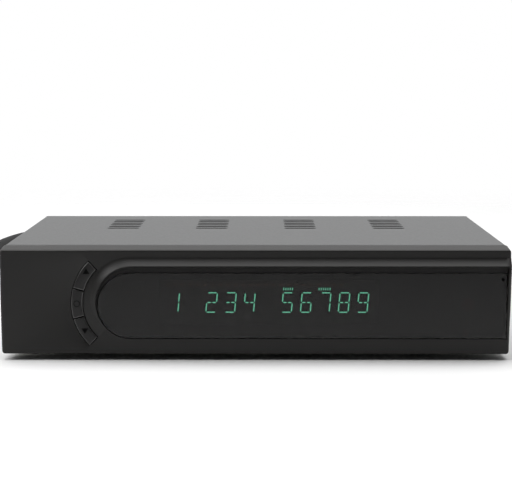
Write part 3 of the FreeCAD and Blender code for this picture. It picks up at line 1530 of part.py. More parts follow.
# The boot's middle line, from the gland's face, and the cord's own route, by hand.
BOOT_BEND = (-0.1, 12.0, -1.6)
BOOT_END = (-2.7, 15.6, -1.7)
LEAD_ROUTE = [
    (-83.25, 88.0, 29.4), (-103.4, 88.2, 27.5), (-120.2, 100.4, 21.0), (-126.0, 120.2, 13.5),
    (-119.6, 139.6, 7.0), (-104.4, 151.0, 3.6), (-86.0, 149.6, 3.0),
]
LEAD_IN = 22.0
TAIL_ROUTE = [
    (-8.9, 95.5, 10.4), (-8.5, 80.8, 6.6), (1.0, 67.7, 3.6), (16.4, 62.7, 2.9),
    (31.8, 67.7, 3.9), (41.3, 80.8, 6.85), (41.3, 96.0, 6.85),
]


def mains_cord():
    """Gland with its boot, the lead to the coil, the coil, the tail and the plug."""
    gland_x = number("cord_x")
    gland_z = number("foot_height + cord_z")
    outer = number("gland_y")
    x = ("cord_x - gland_width / 2", "cord_x + gland_width / 2")
    z = ("foot_height + cord_z - gland_height / 2", "foot_height + cord_z + gland_height / 2")
    neck_x = ("cord_x - gland_neck_width / 2", "cord_x + gland_neck_width / 2")
    neck_z = ("foot_height + cord_z - gland_neck_height / 2",
              "foot_height + cord_z + gland_neck_height / 2")
    start = Vector(gland_x, outer, gland_z)
    boot_path = [tuple(start), tuple(start + Vector(*BOOT_BEND)), tuple(start + Vector(*BOOT_END))]
    boot = doc.addObject("Part::Feature", "boot")
    boot.Shape = pipe(boot_path, number("boot_radius"), number("boot_tip_radius"))
    gland = fuse("gland", block("gland_face", x, ("rear_y", "gland_y"), z),
                 block("gland_neck", neck_x, ("panel_in_y - 0.5", "rear_y + 0.5"), neck_z),
                 block("gland_back", x, ("panel_in_y - gland_inner", "panel_in_y"), z), boot)
    keep(gland, "strain_relief")
    far_y = number("coil_y + coil_radius")
    lead = [boot_path[-1]] + LEAD_ROUTE + [(number("coil_x") - LEAD_IN, far_y, 3.0)]
    cord = doc.addObject("Part::Feature", "lead")
    cord.Shape = pipe(lead, number("cord_radius"), report=True)
    keep(cord, "mains_cord")
    coil()
    near_end = (number("coil_x + coil_radius"), number("coil_y") + 2, 12.6)
    tail = [near_end] + TAIL_ROUTE
    end = doc.addObject("Part::Feature", "tail")
    end.Shape = pipe(tail, number("cord_radius"), report=True)
    keep(end, "cord_tail")
    plug(Vector(*TAIL_ROUTE[-1]), Vector(*TAIL_ROUTE[-1]) - Vector(*TAIL_ROUTE[-2]))


def coil():
    """Outer shape of the turns that are put away behind the case."""
    body = new_body("cord_coil")
    ring = sketch(body, "XY_Plane", "0")
    circle(ring, "coil_x", "coil_y", "coil_radius + coil_band / 2")
    circle(ring, "coil_x", "coil_y", "coil_radius - coil_band / 2")
    pad(body, ring, "coil_height")


def plug(back, way):
    """Flat two-pin plug, lying on its broad side, pins away from the cord."""
    heading = math.degrees(math.atan2(way.y, way.x))
    spot = Placement(back, Rotation(Vector(0, 0, 1), heading))
    body = new_body("plug_body")
    outline = sketch(body, "XY_Plane", "-plug_thick / 2")
    polygon(outline, [
        ("0", "-plug_back_width / 2"), ("plug_length * 0.35", "-plug_back_width * 0.7"),
        ("plug_length * 0.65", "-plug_width / 2"), ("plug_length", "-plug_width / 2"),
        ("plug_length", "plug_width / 2"), ("plug_length * 0.65", "plug_width / 2"),
        ("plug_length * 0.35", "plug_back_width * 0.7"), ("0", "plug_back_width / 2"),
    ])
    pad(body, outline, "plug_thick")
    body.Placement = spot
    pins = []
    for sign in ("-", ""):
        pins.append(rod("plug_pin", "X", ("plug_length", f"{sign}plug_pin_spacing / 2", "0"),
                        "plug_pin_radius", "plug_pin_length"))
    pair = group("plug_pins", *pins)
    pair.Placement = spot
    keep(pair, "plug_pins")


# ---- Build, check and write ------------------------------------------------------------------

def check_and_write():
    """Stop on any failed object or bad shape, then write one STEP file per piece."""
    doc.recompute()
    for thing in doc.Objects:
        if "Invalid" in thing.State or "Error" in thing.State:
            raise RuntimeError(f"{thing.Name} ({thing.Label}) failed: {thing.State}")
    os.makedirs("parts", exist_ok=True)
    for thing in nodes:
        shape = thing.Shape
        if shape.isNull() or not shape.isValid() or not shape.Solids:
            raise RuntimeError(f"{thing.Label} has no valid solid")
        shape.exportStep(f"parts/{thing.Label}.step")
    print(len(nodes), "pieces written")


fill_sheet()
top_cover()
chassis_base()
front_panel()
display_lens()
rubber_feet()
keys()
switch_bodies()
front_board()
board_fixings()
main_board()
aerial_connector()
usb_socket()
video_socket()
audio_socket()
scart_socket()
case_screws()
power_supply()
mains_cord()
check_and_write()
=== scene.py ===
"""Satellite TV receiver: the visual model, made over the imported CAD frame.

Sizes are millimetres in the row frame: X to the right, the front faces -Y, Z up.
They become metres in one place, where a surface becomes a piece.
"""

import logging
import math
from collections.abc import Callable
from dataclasses import dataclass, field
from enum import Enum
from typing import NamedTuple

import bmesh
import bpy
import numpy as np
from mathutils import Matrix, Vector


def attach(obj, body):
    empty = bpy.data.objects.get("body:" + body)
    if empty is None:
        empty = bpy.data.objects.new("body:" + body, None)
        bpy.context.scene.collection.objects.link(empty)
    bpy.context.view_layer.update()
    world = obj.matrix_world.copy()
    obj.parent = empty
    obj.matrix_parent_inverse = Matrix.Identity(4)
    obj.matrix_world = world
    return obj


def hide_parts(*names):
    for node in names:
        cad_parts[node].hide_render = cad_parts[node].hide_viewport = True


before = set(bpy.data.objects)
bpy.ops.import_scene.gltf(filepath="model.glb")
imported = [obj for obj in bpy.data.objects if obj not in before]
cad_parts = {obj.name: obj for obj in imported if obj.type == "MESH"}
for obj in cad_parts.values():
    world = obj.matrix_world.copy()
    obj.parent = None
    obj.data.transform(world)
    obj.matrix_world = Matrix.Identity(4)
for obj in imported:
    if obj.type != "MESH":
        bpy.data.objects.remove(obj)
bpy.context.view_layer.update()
LOG = logging.getLogger("receiver")
MM = 0.001
FINE = 1e-6
TINY = 1e-12
MERGE = 2e-6
WHITE = (1, 1, 1, 1)
COAT_ROUGHNESS = 0.35
ROUGH_SPREAD = 0.15
NOISE_DETAIL = 3.0
BUMP_STRENGTH = 0.6

Numbers = list | tuple | np.ndarray
Tree = bpy.types.NodeTree
Socket = bpy.types.NodeSocket
Made = bpy.types.Object
Node = bpy.types.Node


# --------------------------------------------------------------------------- geometry


class Axis(Enum):
    """Direction a turned shape points in, then the two directions across it."""

    FRONT = ((0, -1, 0), (1, 0, 0), (0, 0, 1))
    REAR = ((0, 1, 0), (1, 0, 0), (0, 0, 1))
    UP = ((0, 0, 1), (1, 0, 0), (0, 1, 0))


def upright(flat: np.ndarray, y: float) -> np.ndarray:
    """Points (x, z) set upright in the plane y."""
    return np.insert(flat, 1, y, axis=1)


def level(flat: np.ndarray, z: float) -> np.ndarray:
    """Points (x, y) laid level at height z."""
    return np.insert(flat, 2, z, axis=1)


def eased(corners: Numbers, radius: float | Numbers, steps: int = 6) -> np.ndarray:
    """Outline of a polygon whose corners are eased.

    Each corner is a quadratic curve between two points `radius` away from it.

    Args:
        corners: (n, 2) corner points.
        radius: one distance, or one for each corner.
        steps: points on each corner's curve.

    Returns:
        (n * steps, 2) points, in the order of the corners.
    """
    corners = np.asarray(corners, float)
    before = np.roll(corners, 1, axis=0) - corners
    after = np.roll(corners, -1, axis=0) - corners
    before /= np.linalg.norm(before, axis=1, keepdims=True)
    after /= np.linalg.norm(after, axis=1, keepdims=True)
    reach = np.broadcast_to(np.asarray(radius, float), (len(corners),))[:, None]
    start = (corners + before * reach)[:, None]
    end = (corners + after * reach)[:, None]
    share = np.linspace(0, 1, steps)[None, :, None]
    bend = (1 - share) ** 2 * start + 2 * share * (1 - share) * corners[:, None]
    return (bend + share ** 2 * end).reshape(-1, 2)


def rectangle(left: float, right: float, low: float, high: float,
              radius: float | Numbers, steps: int = 6) -> np.ndarray:
    """Outline of a rectangle with eased corners, counter-clockwise."""
    corners = [(left, low), (right, low), (right, high), (left, high)]
    return eased(corners, radius, steps)


def full_turn(count: int) -> np.ndarray:
    """Angles in even steps round a full turn."""
    return np.linspace(0, 2 * np.pi, count, endpoint=False)


def unit(turn: np.ndarray) -> np.ndarray:
    """Unit directions (cos t, sin t), a row for each angle."""
    return np.column_stack([np.cos(turn), np.sin(turn)])


def disc(x: float, y: float, radius: float, count: int) -> np.ndarray:
    """Outline of a circle, counter-clockwise."""
    return (x, y) + radius * unit(full_turn(count))


def drawn_in(outline: np.ndarray, distance: float) -> np.ndarray:
    """A counter-clockwise outline moved inwards, its corners mitred.

    A corner moves by distance * (n1 + n2) / (1 + n1 . n2), with n1 and n2 the inward
    normals of the two edges that meet there.

    Args:
        outline: (n, 2) points.
        distance: how far each edge moves.

    Returns:
        (n, 2) points.
    """
    edge = np.roll(outline, -1, axis=0) - outline
    inward = np.column_stack([-edge[:, 1], edge[:, 0]])
    inward /= np.linalg.norm(edge, axis=1, keepdims=True)
    before = np.roll(inward, 1, axis=0)
    share = 1 + np.sum(inward * before, axis=1, keepdims=True)
    return outline + distance * (inward + before) / share


def rings(outline: np.ndarray, steps: Numbers, place: Callable = upright) -> np.ndarray:
    """Rings of a plate: at each step the outline is drawn in and set at a depth."""
    return np.stack([place(drawn_in(outline, inset), depth) for inset, depth in steps])


def lathe(profile: Numbers, base: Numbers, axis: Axis, count: int = 48) -> np.ndarray:
    """Rings of a turned shape.

    A ring point is base + along * axis + radius * (cos t * across + sin t * up).

    Args:
        profile: (radius, along) pairs from the root outwards.
        base: point on the axis where along is 0.
        axis: the direction it points in.
        count: points round each ring.

    Returns:
        (len(profile), count, 3) points.
    """
    profile = np.asarray(profile, float)
    way, across, up = (np.array(part, float) for part in axis.value)
    circle = unit(full_turn(count)) @ np.stack([across, up])
    return np.asarray(base) + profile[:, 1, None, None] * way + profile[:, 0, None, None] * circle


class Rays(NamedTuple):
    """Rays in the (x, z) plane: (n, 2) base points and (n, 2) unit directions."""

    base: np.ndarray
    way: np.ndarray

    def z(self, reach: np.ndarray) -> np.ndarray:
        """Height of the point at each ray's reach."""
        return self.base[:, 1] + self.way[:, 1] * reach

    def to_outline(self, outline: np.ndarray) -> np.ndarray:
        """Distance along each ray to a closed outline round its base.

        A ray meets an edge where cross(base + t * way - corner, edge) = 0.

        Args:
            outline: (m, 2) points of the closed outline.

        Returns:
            (n,) distances.
        """
        edge = np.roll(outline, -1, axis=0) - outline
        gap = outline[None] - self.base[:, None]
        way = self.way[:, None]
        turn = way[..., 0] * edge[None, :, 1] - way[..., 1] * edge[None, :, 0]
        turn = np.where(np.abs(turn) < TINY, TINY, turn)
        far = (gap[..., 0] * edge[None, :, 1] - gap[..., 1] * edge[None, :, 0]) / turn
        along = (gap[..., 0] * way[..., 1] - gap[..., 1] * way[..., 0]) / turn
        good = (along >= -FINE) & (along <= 1 + FINE) & (far > 0)
        return np.where(good, far, np.inf).min(axis=1)

    def to_bullet(self, x: float, z: float, radius: float) -> np.ndarray:
        """Distance along each ray to a bullet: a circle that runs on to the right as two lines.

        t = g . w + sqrt(r^2 - g . g + (g . w)^2), with g from the base to the centre; on the
        straight part g has no x.

        Args:
            x: the centre's place to the right.
            z: the centre's height.
            radius: the circle's radius.

        Returns:
            (n,) distances.
        """
        gap = np.array([x, z]) - self.base
        straight = (self.base[:, 0] > x) & (np.abs(self.way[:, 0]) < FINE)
        gap[:, 0] = np.where(straight, 0, gap[:, 0])
        along = np.sum(gap * self.way, axis=1)
        return along + np.sqrt(radius ** 2 - np.sum(gap ** 2, axis=1) + along ** 2)


def swept(path: np.ndarray, section: Callable[[float], np.ndarray]) -> np.ndarray:
    """Rings of a section carried along a path without twist.

    A point is path + u * side + v * up, with side = step x Z and up = side x step.

    Args:
        path: (n, 3) points.
        section: function of the share of the path's length that gives (m, 2) points,
            first across the path to the side, then upwards.

    Returns:
        (n, m, 3) points.
    """
    step = np.gradient(path, axis=0)
    step /= np.linalg.norm(step, axis=1, keepdims=True)
    side = np.cross(step, (0.0, 0.0, 1.0))
    side /= np.linalg.norm(side, axis=1, keepdims=True)
    up = np.cross(side, step)
    length = np.concatenate([[0], np.cumsum(np.linalg.norm(np.diff(path, axis=0), axis=1))])
    shape = np.stack([section(share) for share in length / length[-1]])
    return path[:, None] + shape[..., :1] * side[:, None] + shape[..., 1:] * up[:, None]


@dataclass
class Surface:
    """Grids of points gathered into one mesh."""

    points: list = field(default_factory=list)
    quads: list = field(default_factory=list)
    parts: list = field(default_factory=list)
    total: int = 0

    def grid(self, points: Numbers, wrap: bool = False, part: int | np.ndarray = 0) -> "Surface":
        """Adds rows of points as quads; wrap joins each row's end to its start.

        Args:
            points: (rows, columns, 3) points.
            wrap: True for closed rows.
            part: the material's number, or one number for each strip between columns.

        Returns:
            The surface itself.
        """
        points = np.asarray(points, float)
        rows, columns = points.shape[:2]
        index = np.arange(rows * columns).reshape(rows, columns) + self.total
        if wrap:
            index = np.hstack([index, index[:, :1]])
        quads = [index[:-1, :-1], index[:-1, 1:], index[1:, 1:], index[1:, :-1]]
        self.points.append(points.reshape(-1, 3))
        self.quads.append(np.stack(quads, axis=-1).reshape(-1, 4))
        strips = np.broadcast_to(part, (index.shape[1] - 1,))
        self.parts.append(np.tile(strips, rows - 1))
        self.total += rows * columns
        return self

    def band(self, loops: Numbers, part: int = 0) -> "Surface":
        """Adds closed loops, open at the first and the last."""
        return self.grid(loops, wrap=True, part=part)

    def fan(self, loop: np.ndarray) -> "Surface":
        """Shuts a loop with a fan to its middle."""
        return self.band([loop, np.broadcast_to(loop.mean(axis=0), loop.shape)])

    def tube(self, loops: np.ndarray) -> "Surface":
        """Adds closed loops and shuts both ends."""
        return self.band(loops).fan(loops[0]).fan(loops[-1])

    def block(self, x: tuple, y: tuple, z: tuple, ease: float = 0.2) -> None:
        """Adds a box with eased edges.

        Args:
            x: left and right.
            y: front and rear.
            z: bottom and top.
            ease: how far the edges are drawn in.
        """
        outline = rectangle(x[0] + ease, x[1] - ease, z[0] + ease, z[1] - ease, ease, 3)
        steps = [(0, y[0]), (-ease * 0.7, y[0] + ease * 0.3), (-ease, y[0] + ease),
                 (-ease, y[1] - ease), (-ease * 0.7, y[1] - ease * 0.3), (0, y[1])]
        self.tube(rings(outline, steps))

    def piece(self, name: str, finishes: list, slot: str, replaces: Numbers = (),
              body: str = "receiver", sharp: float = 38.0) -> Made:
        """Makes the mesh, merges doubles, turns normals outwards and mounts it on its body.

        Args:
            name: the piece's name.
            finishes: one finish for each part number used.
            slot: the record's material slot; not used.
            replaces: CAD nodes that it stands for.
            body: the CAD body that it rides on.
            sharp: edges that turn by more degrees than this stay sharp.

        Returns:
            The piece's object.
        """
        mesh = bpy.data.meshes.new(name)
        mesh.from_pydata((np.concatenate(self.points) * MM).tolist(), [],
                         np.concatenate(self.quads).tolist())
        mesh.polygons.foreach_set("material_index", np.concatenate(self.parts).astype(np.int32))
        work = bmesh.new()
        work.from_mesh(mesh)
        bmesh.ops.remove_doubles(work, verts=work.verts, dist=MERGE)
        bmesh.ops.recalc_face_normals(work, faces=work.faces)
        work.to_mesh(mesh)
        work.free()
        mesh.shade_smooth()
        mesh.set_sharp_from_angle(angle=math.radians(sharp))
        for finish in finishes:
            mesh.materials.append(finish.material())
        LOG.info("%s: %d faces on %s", name, len(mesh.polygons), body)
        return mounted(name, mesh, body, slot, replaces)


def placed(name: str, data: bpy.types.ID) -> Made:
    """A new object in the scene.

    Args:
        name: the object's name.
        data: its mesh, curve, camera or light.

    Returns:
        The object.
    """
    made = bpy.data.objects.new(name, data)
    bpy.context.scene.collection.objects.link(made)
    return made


def mounted(name: str, data: bpy.types.ID, body: str, slot: str, replaces: Numbers) -> Made:
    """A new piece, riding on its body.

    Args:
        name: the piece's name.
        data: its mesh or curve.
        body: the CAD body that it rides on.
        slot: the record's material slot; not used.
        replaces: CAD nodes that it stands for.

    Returns:
        The piece's object.
    """
    made = placed(name, data)
    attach(made, body)
    if replaces:
        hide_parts(*replaces)
    return made


# --------------------------------------------------------------------------- finishes


def colour(text: str) -> tuple:
    """sRGB hex text as linear RGBA.

    Linear is v / 12.92 up to 0.04045 and ((v + 0.055) / 1.055) ** 2.4 above.

    Args:
        text: "#rrggbb".

    Returns:
        Red, green, blue and 1.
    """
    value = np.array([int(text[i:i + 2], 16) for i in (1, 3, 5)]) / 255
    linear = np.where(value <= 0.04045, value / 12.92, ((value + 0.055) / 1.055) ** 2.4)
    return (*linear.tolist(), 1.0)


def add_node(tree: Tree, kind: str, settings: dict | None = None,
             links: dict | None = None) -> Node:
    """Adds a node with its settings and links.

    Args:
        tree: the tree that it goes in.
        kind: the node's Blender type.
        settings: values by input name or number, or by the node's own property.
        links: source sockets by input name or number.

    Returns:
        The node.
    """
    node = tree.nodes.new(kind)
    for key, value in (settings or {}).items():
        if isinstance(key, int) or key in node.inputs:
            node.inputs[key].default_value = value
        else:
            setattr(node, key, value)
    for key, source in (links or {}).items():
        tree.links.new(source, node.inputs[key])
    return node


def mixed(tree: Tree, share: Socket, first: Node, second: Node) -> Node:
    """Two shaders mixed, with the share of the second."""
    return add_node(tree, "ShaderNodeMixShader",
                    links={0: share, 1: first.outputs[0], 2: second.outputs[0]})


class Leads(NamedTuple):
    """Sockets that a shader takes: the pattern, the colour and the bumped normal."""

    pattern: Socket
    tones: Socket
    relief: Socket


@dataclass(frozen=True)
class Finish:
    """A procedural surface: two close tones and a fine relief, both led by one pattern.

    grain is the size of the pattern in millimetres and relief its height; gleam is the
    shader's specular level, 0.5 for a plain hard surface, and coat a clear top layer.
    """

    name: str
    tone: str
    second: str
    rough: float = 0.5
    grain: float = 0.6
    relief: float = 0.01
    metal: float = 0.0
    gleam: float = 0.5
    coat: float = 0.0

    def material(self) -> bpy.types.Material:
        """The material of this finish, made once.

        Returns:
            The material.
        """
        made = bpy.data.materials.get(self.name)
        if made is None:
            made = bpy.data.materials.new(self.name)
            made.use_nodes = True
            made.node_tree.nodes.clear()
            made.cycles.emission_sampling = "NONE"
            self.fill(made.node_tree)
        return made

    def pattern(self, tree: Tree, place: Socket) -> Socket:
        """Noise that leads tones, roughness and relief; its scale is 1000 mm over the grain."""
        return add_node(tree, "ShaderNodeTexNoise",
                        {"Scale": 1000 / self.grain, "Detail": NOISE_DETAIL},
                        {"Vector": place}).outputs["Fac"]

    def shader(self, tree: Tree, leads: Leads) -> Node:
        """The shader that the finish ends in.

        Args:
            tree: the material's tree.
            leads: the sockets that lead it.

        Returns:
            The node whose first output is the surface.
        """
        rough = add_node(tree, "ShaderNodeMapRange",
                         {"To Min": self.rough * (1 - ROUGH_SPREAD),
                          "To Max": min(1.0, self.rough * (1 + ROUGH_SPREAD))},
                         {"Value": leads.pattern})
        return add_node(tree, "ShaderNodeBsdfPrincipled",
                        {"Metallic": self.metal, "Specular IOR Level": self.gleam,
                         "Coat Weight": self.coat, "Coat Roughness": COAT_ROUGHNESS},
                        {"Base Color": leads.tones, "Roughness": rough.outputs["Result"],
                         "Normal": leads.relief})

    def fill(self, tree: Tree) -> None:
        """Builds the nodes: coordinates, pattern, tones, relief, shader and output.

        Args:
            tree: the material's empty tree.
        """
        place = add_node(tree, "ShaderNodeTexCoord").outputs["Object"]
        lead = self.pattern(tree, place)
        tones = add_node(tree, "ShaderNodeMix",
                         {"data_type": "RGBA", 6: colour(self.tone), 7: colour(self.second)},
                         {0: lead}).outputs[2]
        relief = add_node(tree, "ShaderNodeBump",
                          {"Strength": BUMP_STRENGTH, "Distance": self.relief * MM},
                          {"Height": lead}).outputs["Normal"]
        end = self.shader(tree, Leads(lead, tones, relief))
        add_node(tree, "ShaderNodeOutputMaterial", links={"Surface": end.outputs[0]})


class MouldedPlastic(Finish):
    """Injection-moulded plastic: a spark-worn mould leaves a fine even grain and a soft gleam."""


@dataclass(frozen=True)
class PaintedSheet(Finish):
    """Baked paint on sheet steel: a low orange peel under a thin clear top layer."""

    coat: float = 0.15


class TinPlate(Finish):
    """Bright coated steel sheet: pale crystals of slightly different grey lie side by side."""

    def pattern(self, tree: Tree, place: Socket) -> Socket:
        """Crystals, each with a shade of its own."""
        crystal = add_node(tree, "ShaderNodeTexVoronoi", {"Scale": 1000 / self.grain},
                           {"Vector": place})
        return add_node(tree, "ShaderNodeSeparateColor",
                        links={0: crystal.outputs["Color"]}).outputs[0]


class PlatedMetal(Finish):
    """Plated turned or pressed metal: fine drawn lines blur the highlights along one way."""

    def pattern(self, tree: Tree, place: Socket) -> Socket:
        """Noise drawn out along the length of the part."""
        drawn = add_node(tree, "ShaderNodeMapping", {"Scale": (1.0, 0.12, 1.0)},
                         {"Vector": place})
        return super().pattern(tree, drawn.outputs["Vector"])


class SoftRubber(Finish):
    """Moulded rubber or soft plastic: a dull bloom that takes the shine off its black."""


class SolderMask(Finish):
    """Circuit board: copper tracks stand out a little under a coloured lacquer."""

    def pattern(self, tree: Tree, place: Socket) -> Socket:
        """Straight tracks in a staggered layout."""
        return add_node(tree, "ShaderNodeTexBrick",
                        {"Scale": 1000 / self.grain, "Color1": (0, 0, 0, 1),
                         "Color2": (0.4, 0.4, 0.4, 1), "Mortar": WHITE,
                         "Mortar Size": 0.03}, {"Vector": place}).outputs["Fac"]


class SinteredPowder(Finish):
    """Pressed and fired powder, as ferrite: grey grains without a gleam."""


class PrintedInk(Finish):
    """Screen-printed ink: thin and dull, with slightly uneven cover."""


@dataclass(frozen=True)
class SmokedAcrylic(Finish):
    """Smoked acrylic sheet: it lets part of the light through and mirrors the room at its face.

    clear is the light that passes each face, index the sheet's refractive index and milk
    the share of the light that its mass scatters.
    """

    clear: str = "#b0aeac"
    index: float = 1.37
    milk: float = 0.08

    def shader(self, tree: Tree, leads: Leads) -> Node:
        """A clear dark sheet whose face gleams more at a low angle.

        Args:
            tree: the material's tree.
            leads: the sockets that lead it.

        Returns:
            The node whose first output is the surface.
        """
        through = add_node(tree, "ShaderNodeBsdfTransparent", {"Color": colour(self.clear)})
        body = add_node(tree, "ShaderNodeBsdfDiffuse", links={"Color": leads.tones})
        mass = add_node(tree, "ShaderNodeMixShader", {0: self.milk},
                        {1: through.outputs[0], 2: body.outputs[0]})
        face = add_node(tree, "ShaderNodeBsdfGlossy", {"Color": WHITE, "Roughness": self.rough},
                        {"Normal": leads.relief})
        edge = add_node(tree, "ShaderNodeFresnel", {"IOR": self.index},
                        {"Normal": leads.relief})
        return mixed(tree, edge.outputs[0], mass, face)


@dataclass(frozen=True)
class GlowingPhosphor(Finish):
    """Phosphor lit by electrons: it glows of itself, with a grain of brighter points."""

    power: float = 1.0

    def shader(self, tree: Tree, leads: Leads) -> Node:
        """Light of the two tones, on the shader's own strength."""
        return add_node(tree, "ShaderNodeEmission", {"Strength": self.power},
                        {"Color": leads.tones})


@dataclass(frozen=True)
class FadingFloor(Finish):
    """White table top that holds the shadow and fades into the white room further out."""

    solid: float = 0.25
    gone: float = 0.75

    def shader(self, tree: Tree, leads: Leads) -> Node:
        """White near the middle, clear beyond.

        Args:
            tree: the material's tree.
            leads: the sockets that lead it.

        Returns:
            The node whose first output is the surface.
        """
        top = super().shader(tree, leads)
        place = add_node(tree, "ShaderNodeTexCoord").outputs["Object"]
        far = add_node(tree, "ShaderNodeVectorMath", {"operation": "LENGTH"}, {0: place})
        fade = add_node(tree, "ShaderNodeMapRange",
                        {"From Min": self.solid, "From Max": self.gone,
                         "interpolation_type": "SMOOTHSTEP"}, {"Value": far.outputs["Value"]})
        clear = add_node(tree, "ShaderNodeBsdfTransparent", {"Color": WHITE})
        return mixed(tree, fade.outputs["Result"], top, clear)


FRONT_BLACK = MouldedPlastic("front_black", "#1b1a19", "#201f1e", 0.45, 0.35, 0.012, gleam=0.34)
KEY_BLACK = MouldedPlastic("key_black", "#1b1a1a", "#201f1f", 0.4, 0.3, 0.008, gleam=0.3)
# Painted highlight: the keys' rounded edges get a lighter tone than the caps, standing in for the
# light they catch; their lower roughness and higher gleam are a real gloss.
KEY_EDGE_HIGHLIGHT = MouldedPlastic("key_edge_highlight", "#242322", "#2b2a29", 0.3, 0.3, 0.004, gleam=0.9)
KEY_MARK = PrintedInk("key_mark", "#101010", "#141414", 0.9, 0.2, 0.003, gleam=0.0)
# Painted shade: the lens recess, the hood's underside and return and the seat behind the lens are a
# darker, duller black than the face of the same moulding, standing in for the shade there.
RECESS_PAINTED_SHADE = MouldedPlastic("recess_painted_shade", "#121111", "#171616", 0.55, 0.4, 0.012, gleam=0.2)
COVER_GREY = PaintedSheet("cover_grey", "#38393a", "#3e3f40", 0.42, 0.9, 0.014)
BRIGHT_SHEET = TinPlate("bright_sheet", "#dddcd8", "#e8e7e4", 0.4, 2.2, 0.002, 0.9)
# Painted shade: a near-black dull surface laid where there are only holes, slots and gaps, standing
# in for the shade inside them; it is not rubber.
HOLE_PAINTED_SHADE = SoftRubber("hole_painted_shade", "#040404", "#080808", 0.9, 0.5, 0.002, gleam=0.05)
SENSOR_RED = MouldedPlastic("sensor_red", "#4a1a16", "#5a211c", 0.3, 0.8, 0.002)
SMOKED = SmokedAcrylic("smoked_sheet", "#0e0d0d", "#121110", 0.28, 6.0, 0.001)
FOOT = SoftRubber("foot_rubber", "#1b1b1b", "#232323", 0.75, 0.5, 0.02)
CORD = SoftRubber("cord_jacket", "#1c1c1c", "#242424", 0.5, 0.8, 0.01)
BLACK_STEEL = PlatedMetal("black_steel", "#161616", "#202020", 0.35, 0.3, 0.003, 0.6)
NICKEL = PlatedMetal("nickel", "#b9a79b", "#c9b9ae", 0.28, 0.3, 0.003, 1.0)
ZINC = PlatedMetal("zinc", "#a9a7a6", "#bab8b6", 0.33, 0.4, 0.003, 1.0)
BRASS = PlatedMetal("brass", "#b99a55", "#c8aa66", 0.3, 0.3, 0.003, 1.0)
SOCKET_GREY = MouldedPlastic("socket_grey", "#202021", "#28282a", 0.4, 0.3, 0.008)
SOCKET_BLACK = MouldedPlastic("socket_black", "#1a1a1b", "#212122", 0.45, 0.3, 0.008)
WHITE_PLASTIC = MouldedPlastic("white_plastic", "#dedcd4", "#e8e6de", 0.4, 0.5, 0.005)
PINK = MouldedPlastic("pink_insulator", "#d9a497", "#e2b1a5", 0.45, 0.5, 0.005)
GREEN_BOARD = SolderMask("green_board", "#123a22", "#1d5a34", 0.35, 6.0, 0.03)
BROWN_BOARD = SolderMask("brown_board", "#8d7142", "#a3865a", 0.5, 9.0, 0.03)
CHIP = MouldedPlastic("chip_plastic", "#1c1c1d", "#262627", 0.6, 0.25, 0.01)
ALUMINIUM = PlatedMetal("aluminium", "#b4b5b7", "#c4c5c6", 0.35, 0.5, 0.004, 1.0)
TIN = TinPlate("tin_can", "#bcbcba", "#cacac7", 0.3, 3.0, 0.002, 1.0)
TUBE_GLASS = SmokedAcrylic("tube_glass", "#1b2423", "#222c2a", 0.05, 5.0, 0.001, clear="#5c6664")
LAMP = MouldedPlastic("lamp_red", "#4a1512", "#5c1b16", 0.25, 1.0, 0.002)
SLEEVE = MouldedPlastic("capacitor_sleeve", "#17182a", "#1f2036", 0.35, 1.2, 0.004)
YELLOW = MouldedPlastic("filter_plastic", "#b9a12e", "#c8b13c", 0.4, 0.8, 0.006)
FERRITE = SinteredPowder("ferrite", "#2c2c2e", "#38383b", 0.75, 0.4, 0.02)
WIRE = SoftRubber("wire_sleeve", "#8c1b16", "#a3241d", 0.45, 0.8, 0.005)
COPPER = PlatedMetal("gilded_contact", "#b98b52", "#c99d63", 0.3, 0.3, 0.002, 1.0)
INK = PrintedInk("printed_ink", "#1e1d1d", "#272626", 0.6, 0.5, 0.002, gleam=0.3)
TEAL = GlowingPhosphor("teal_phosphor", "#58b898", "#6cc8a8", 0.5, 0.4, 0.0, power=5.0)
FILAMENT = GlowingPhosphor("filament_haze", "#3a2b22", "#4a372a", 0.5, 5.0, 0.0, power=2.4)


# --------------------------------------------------------------------------- front


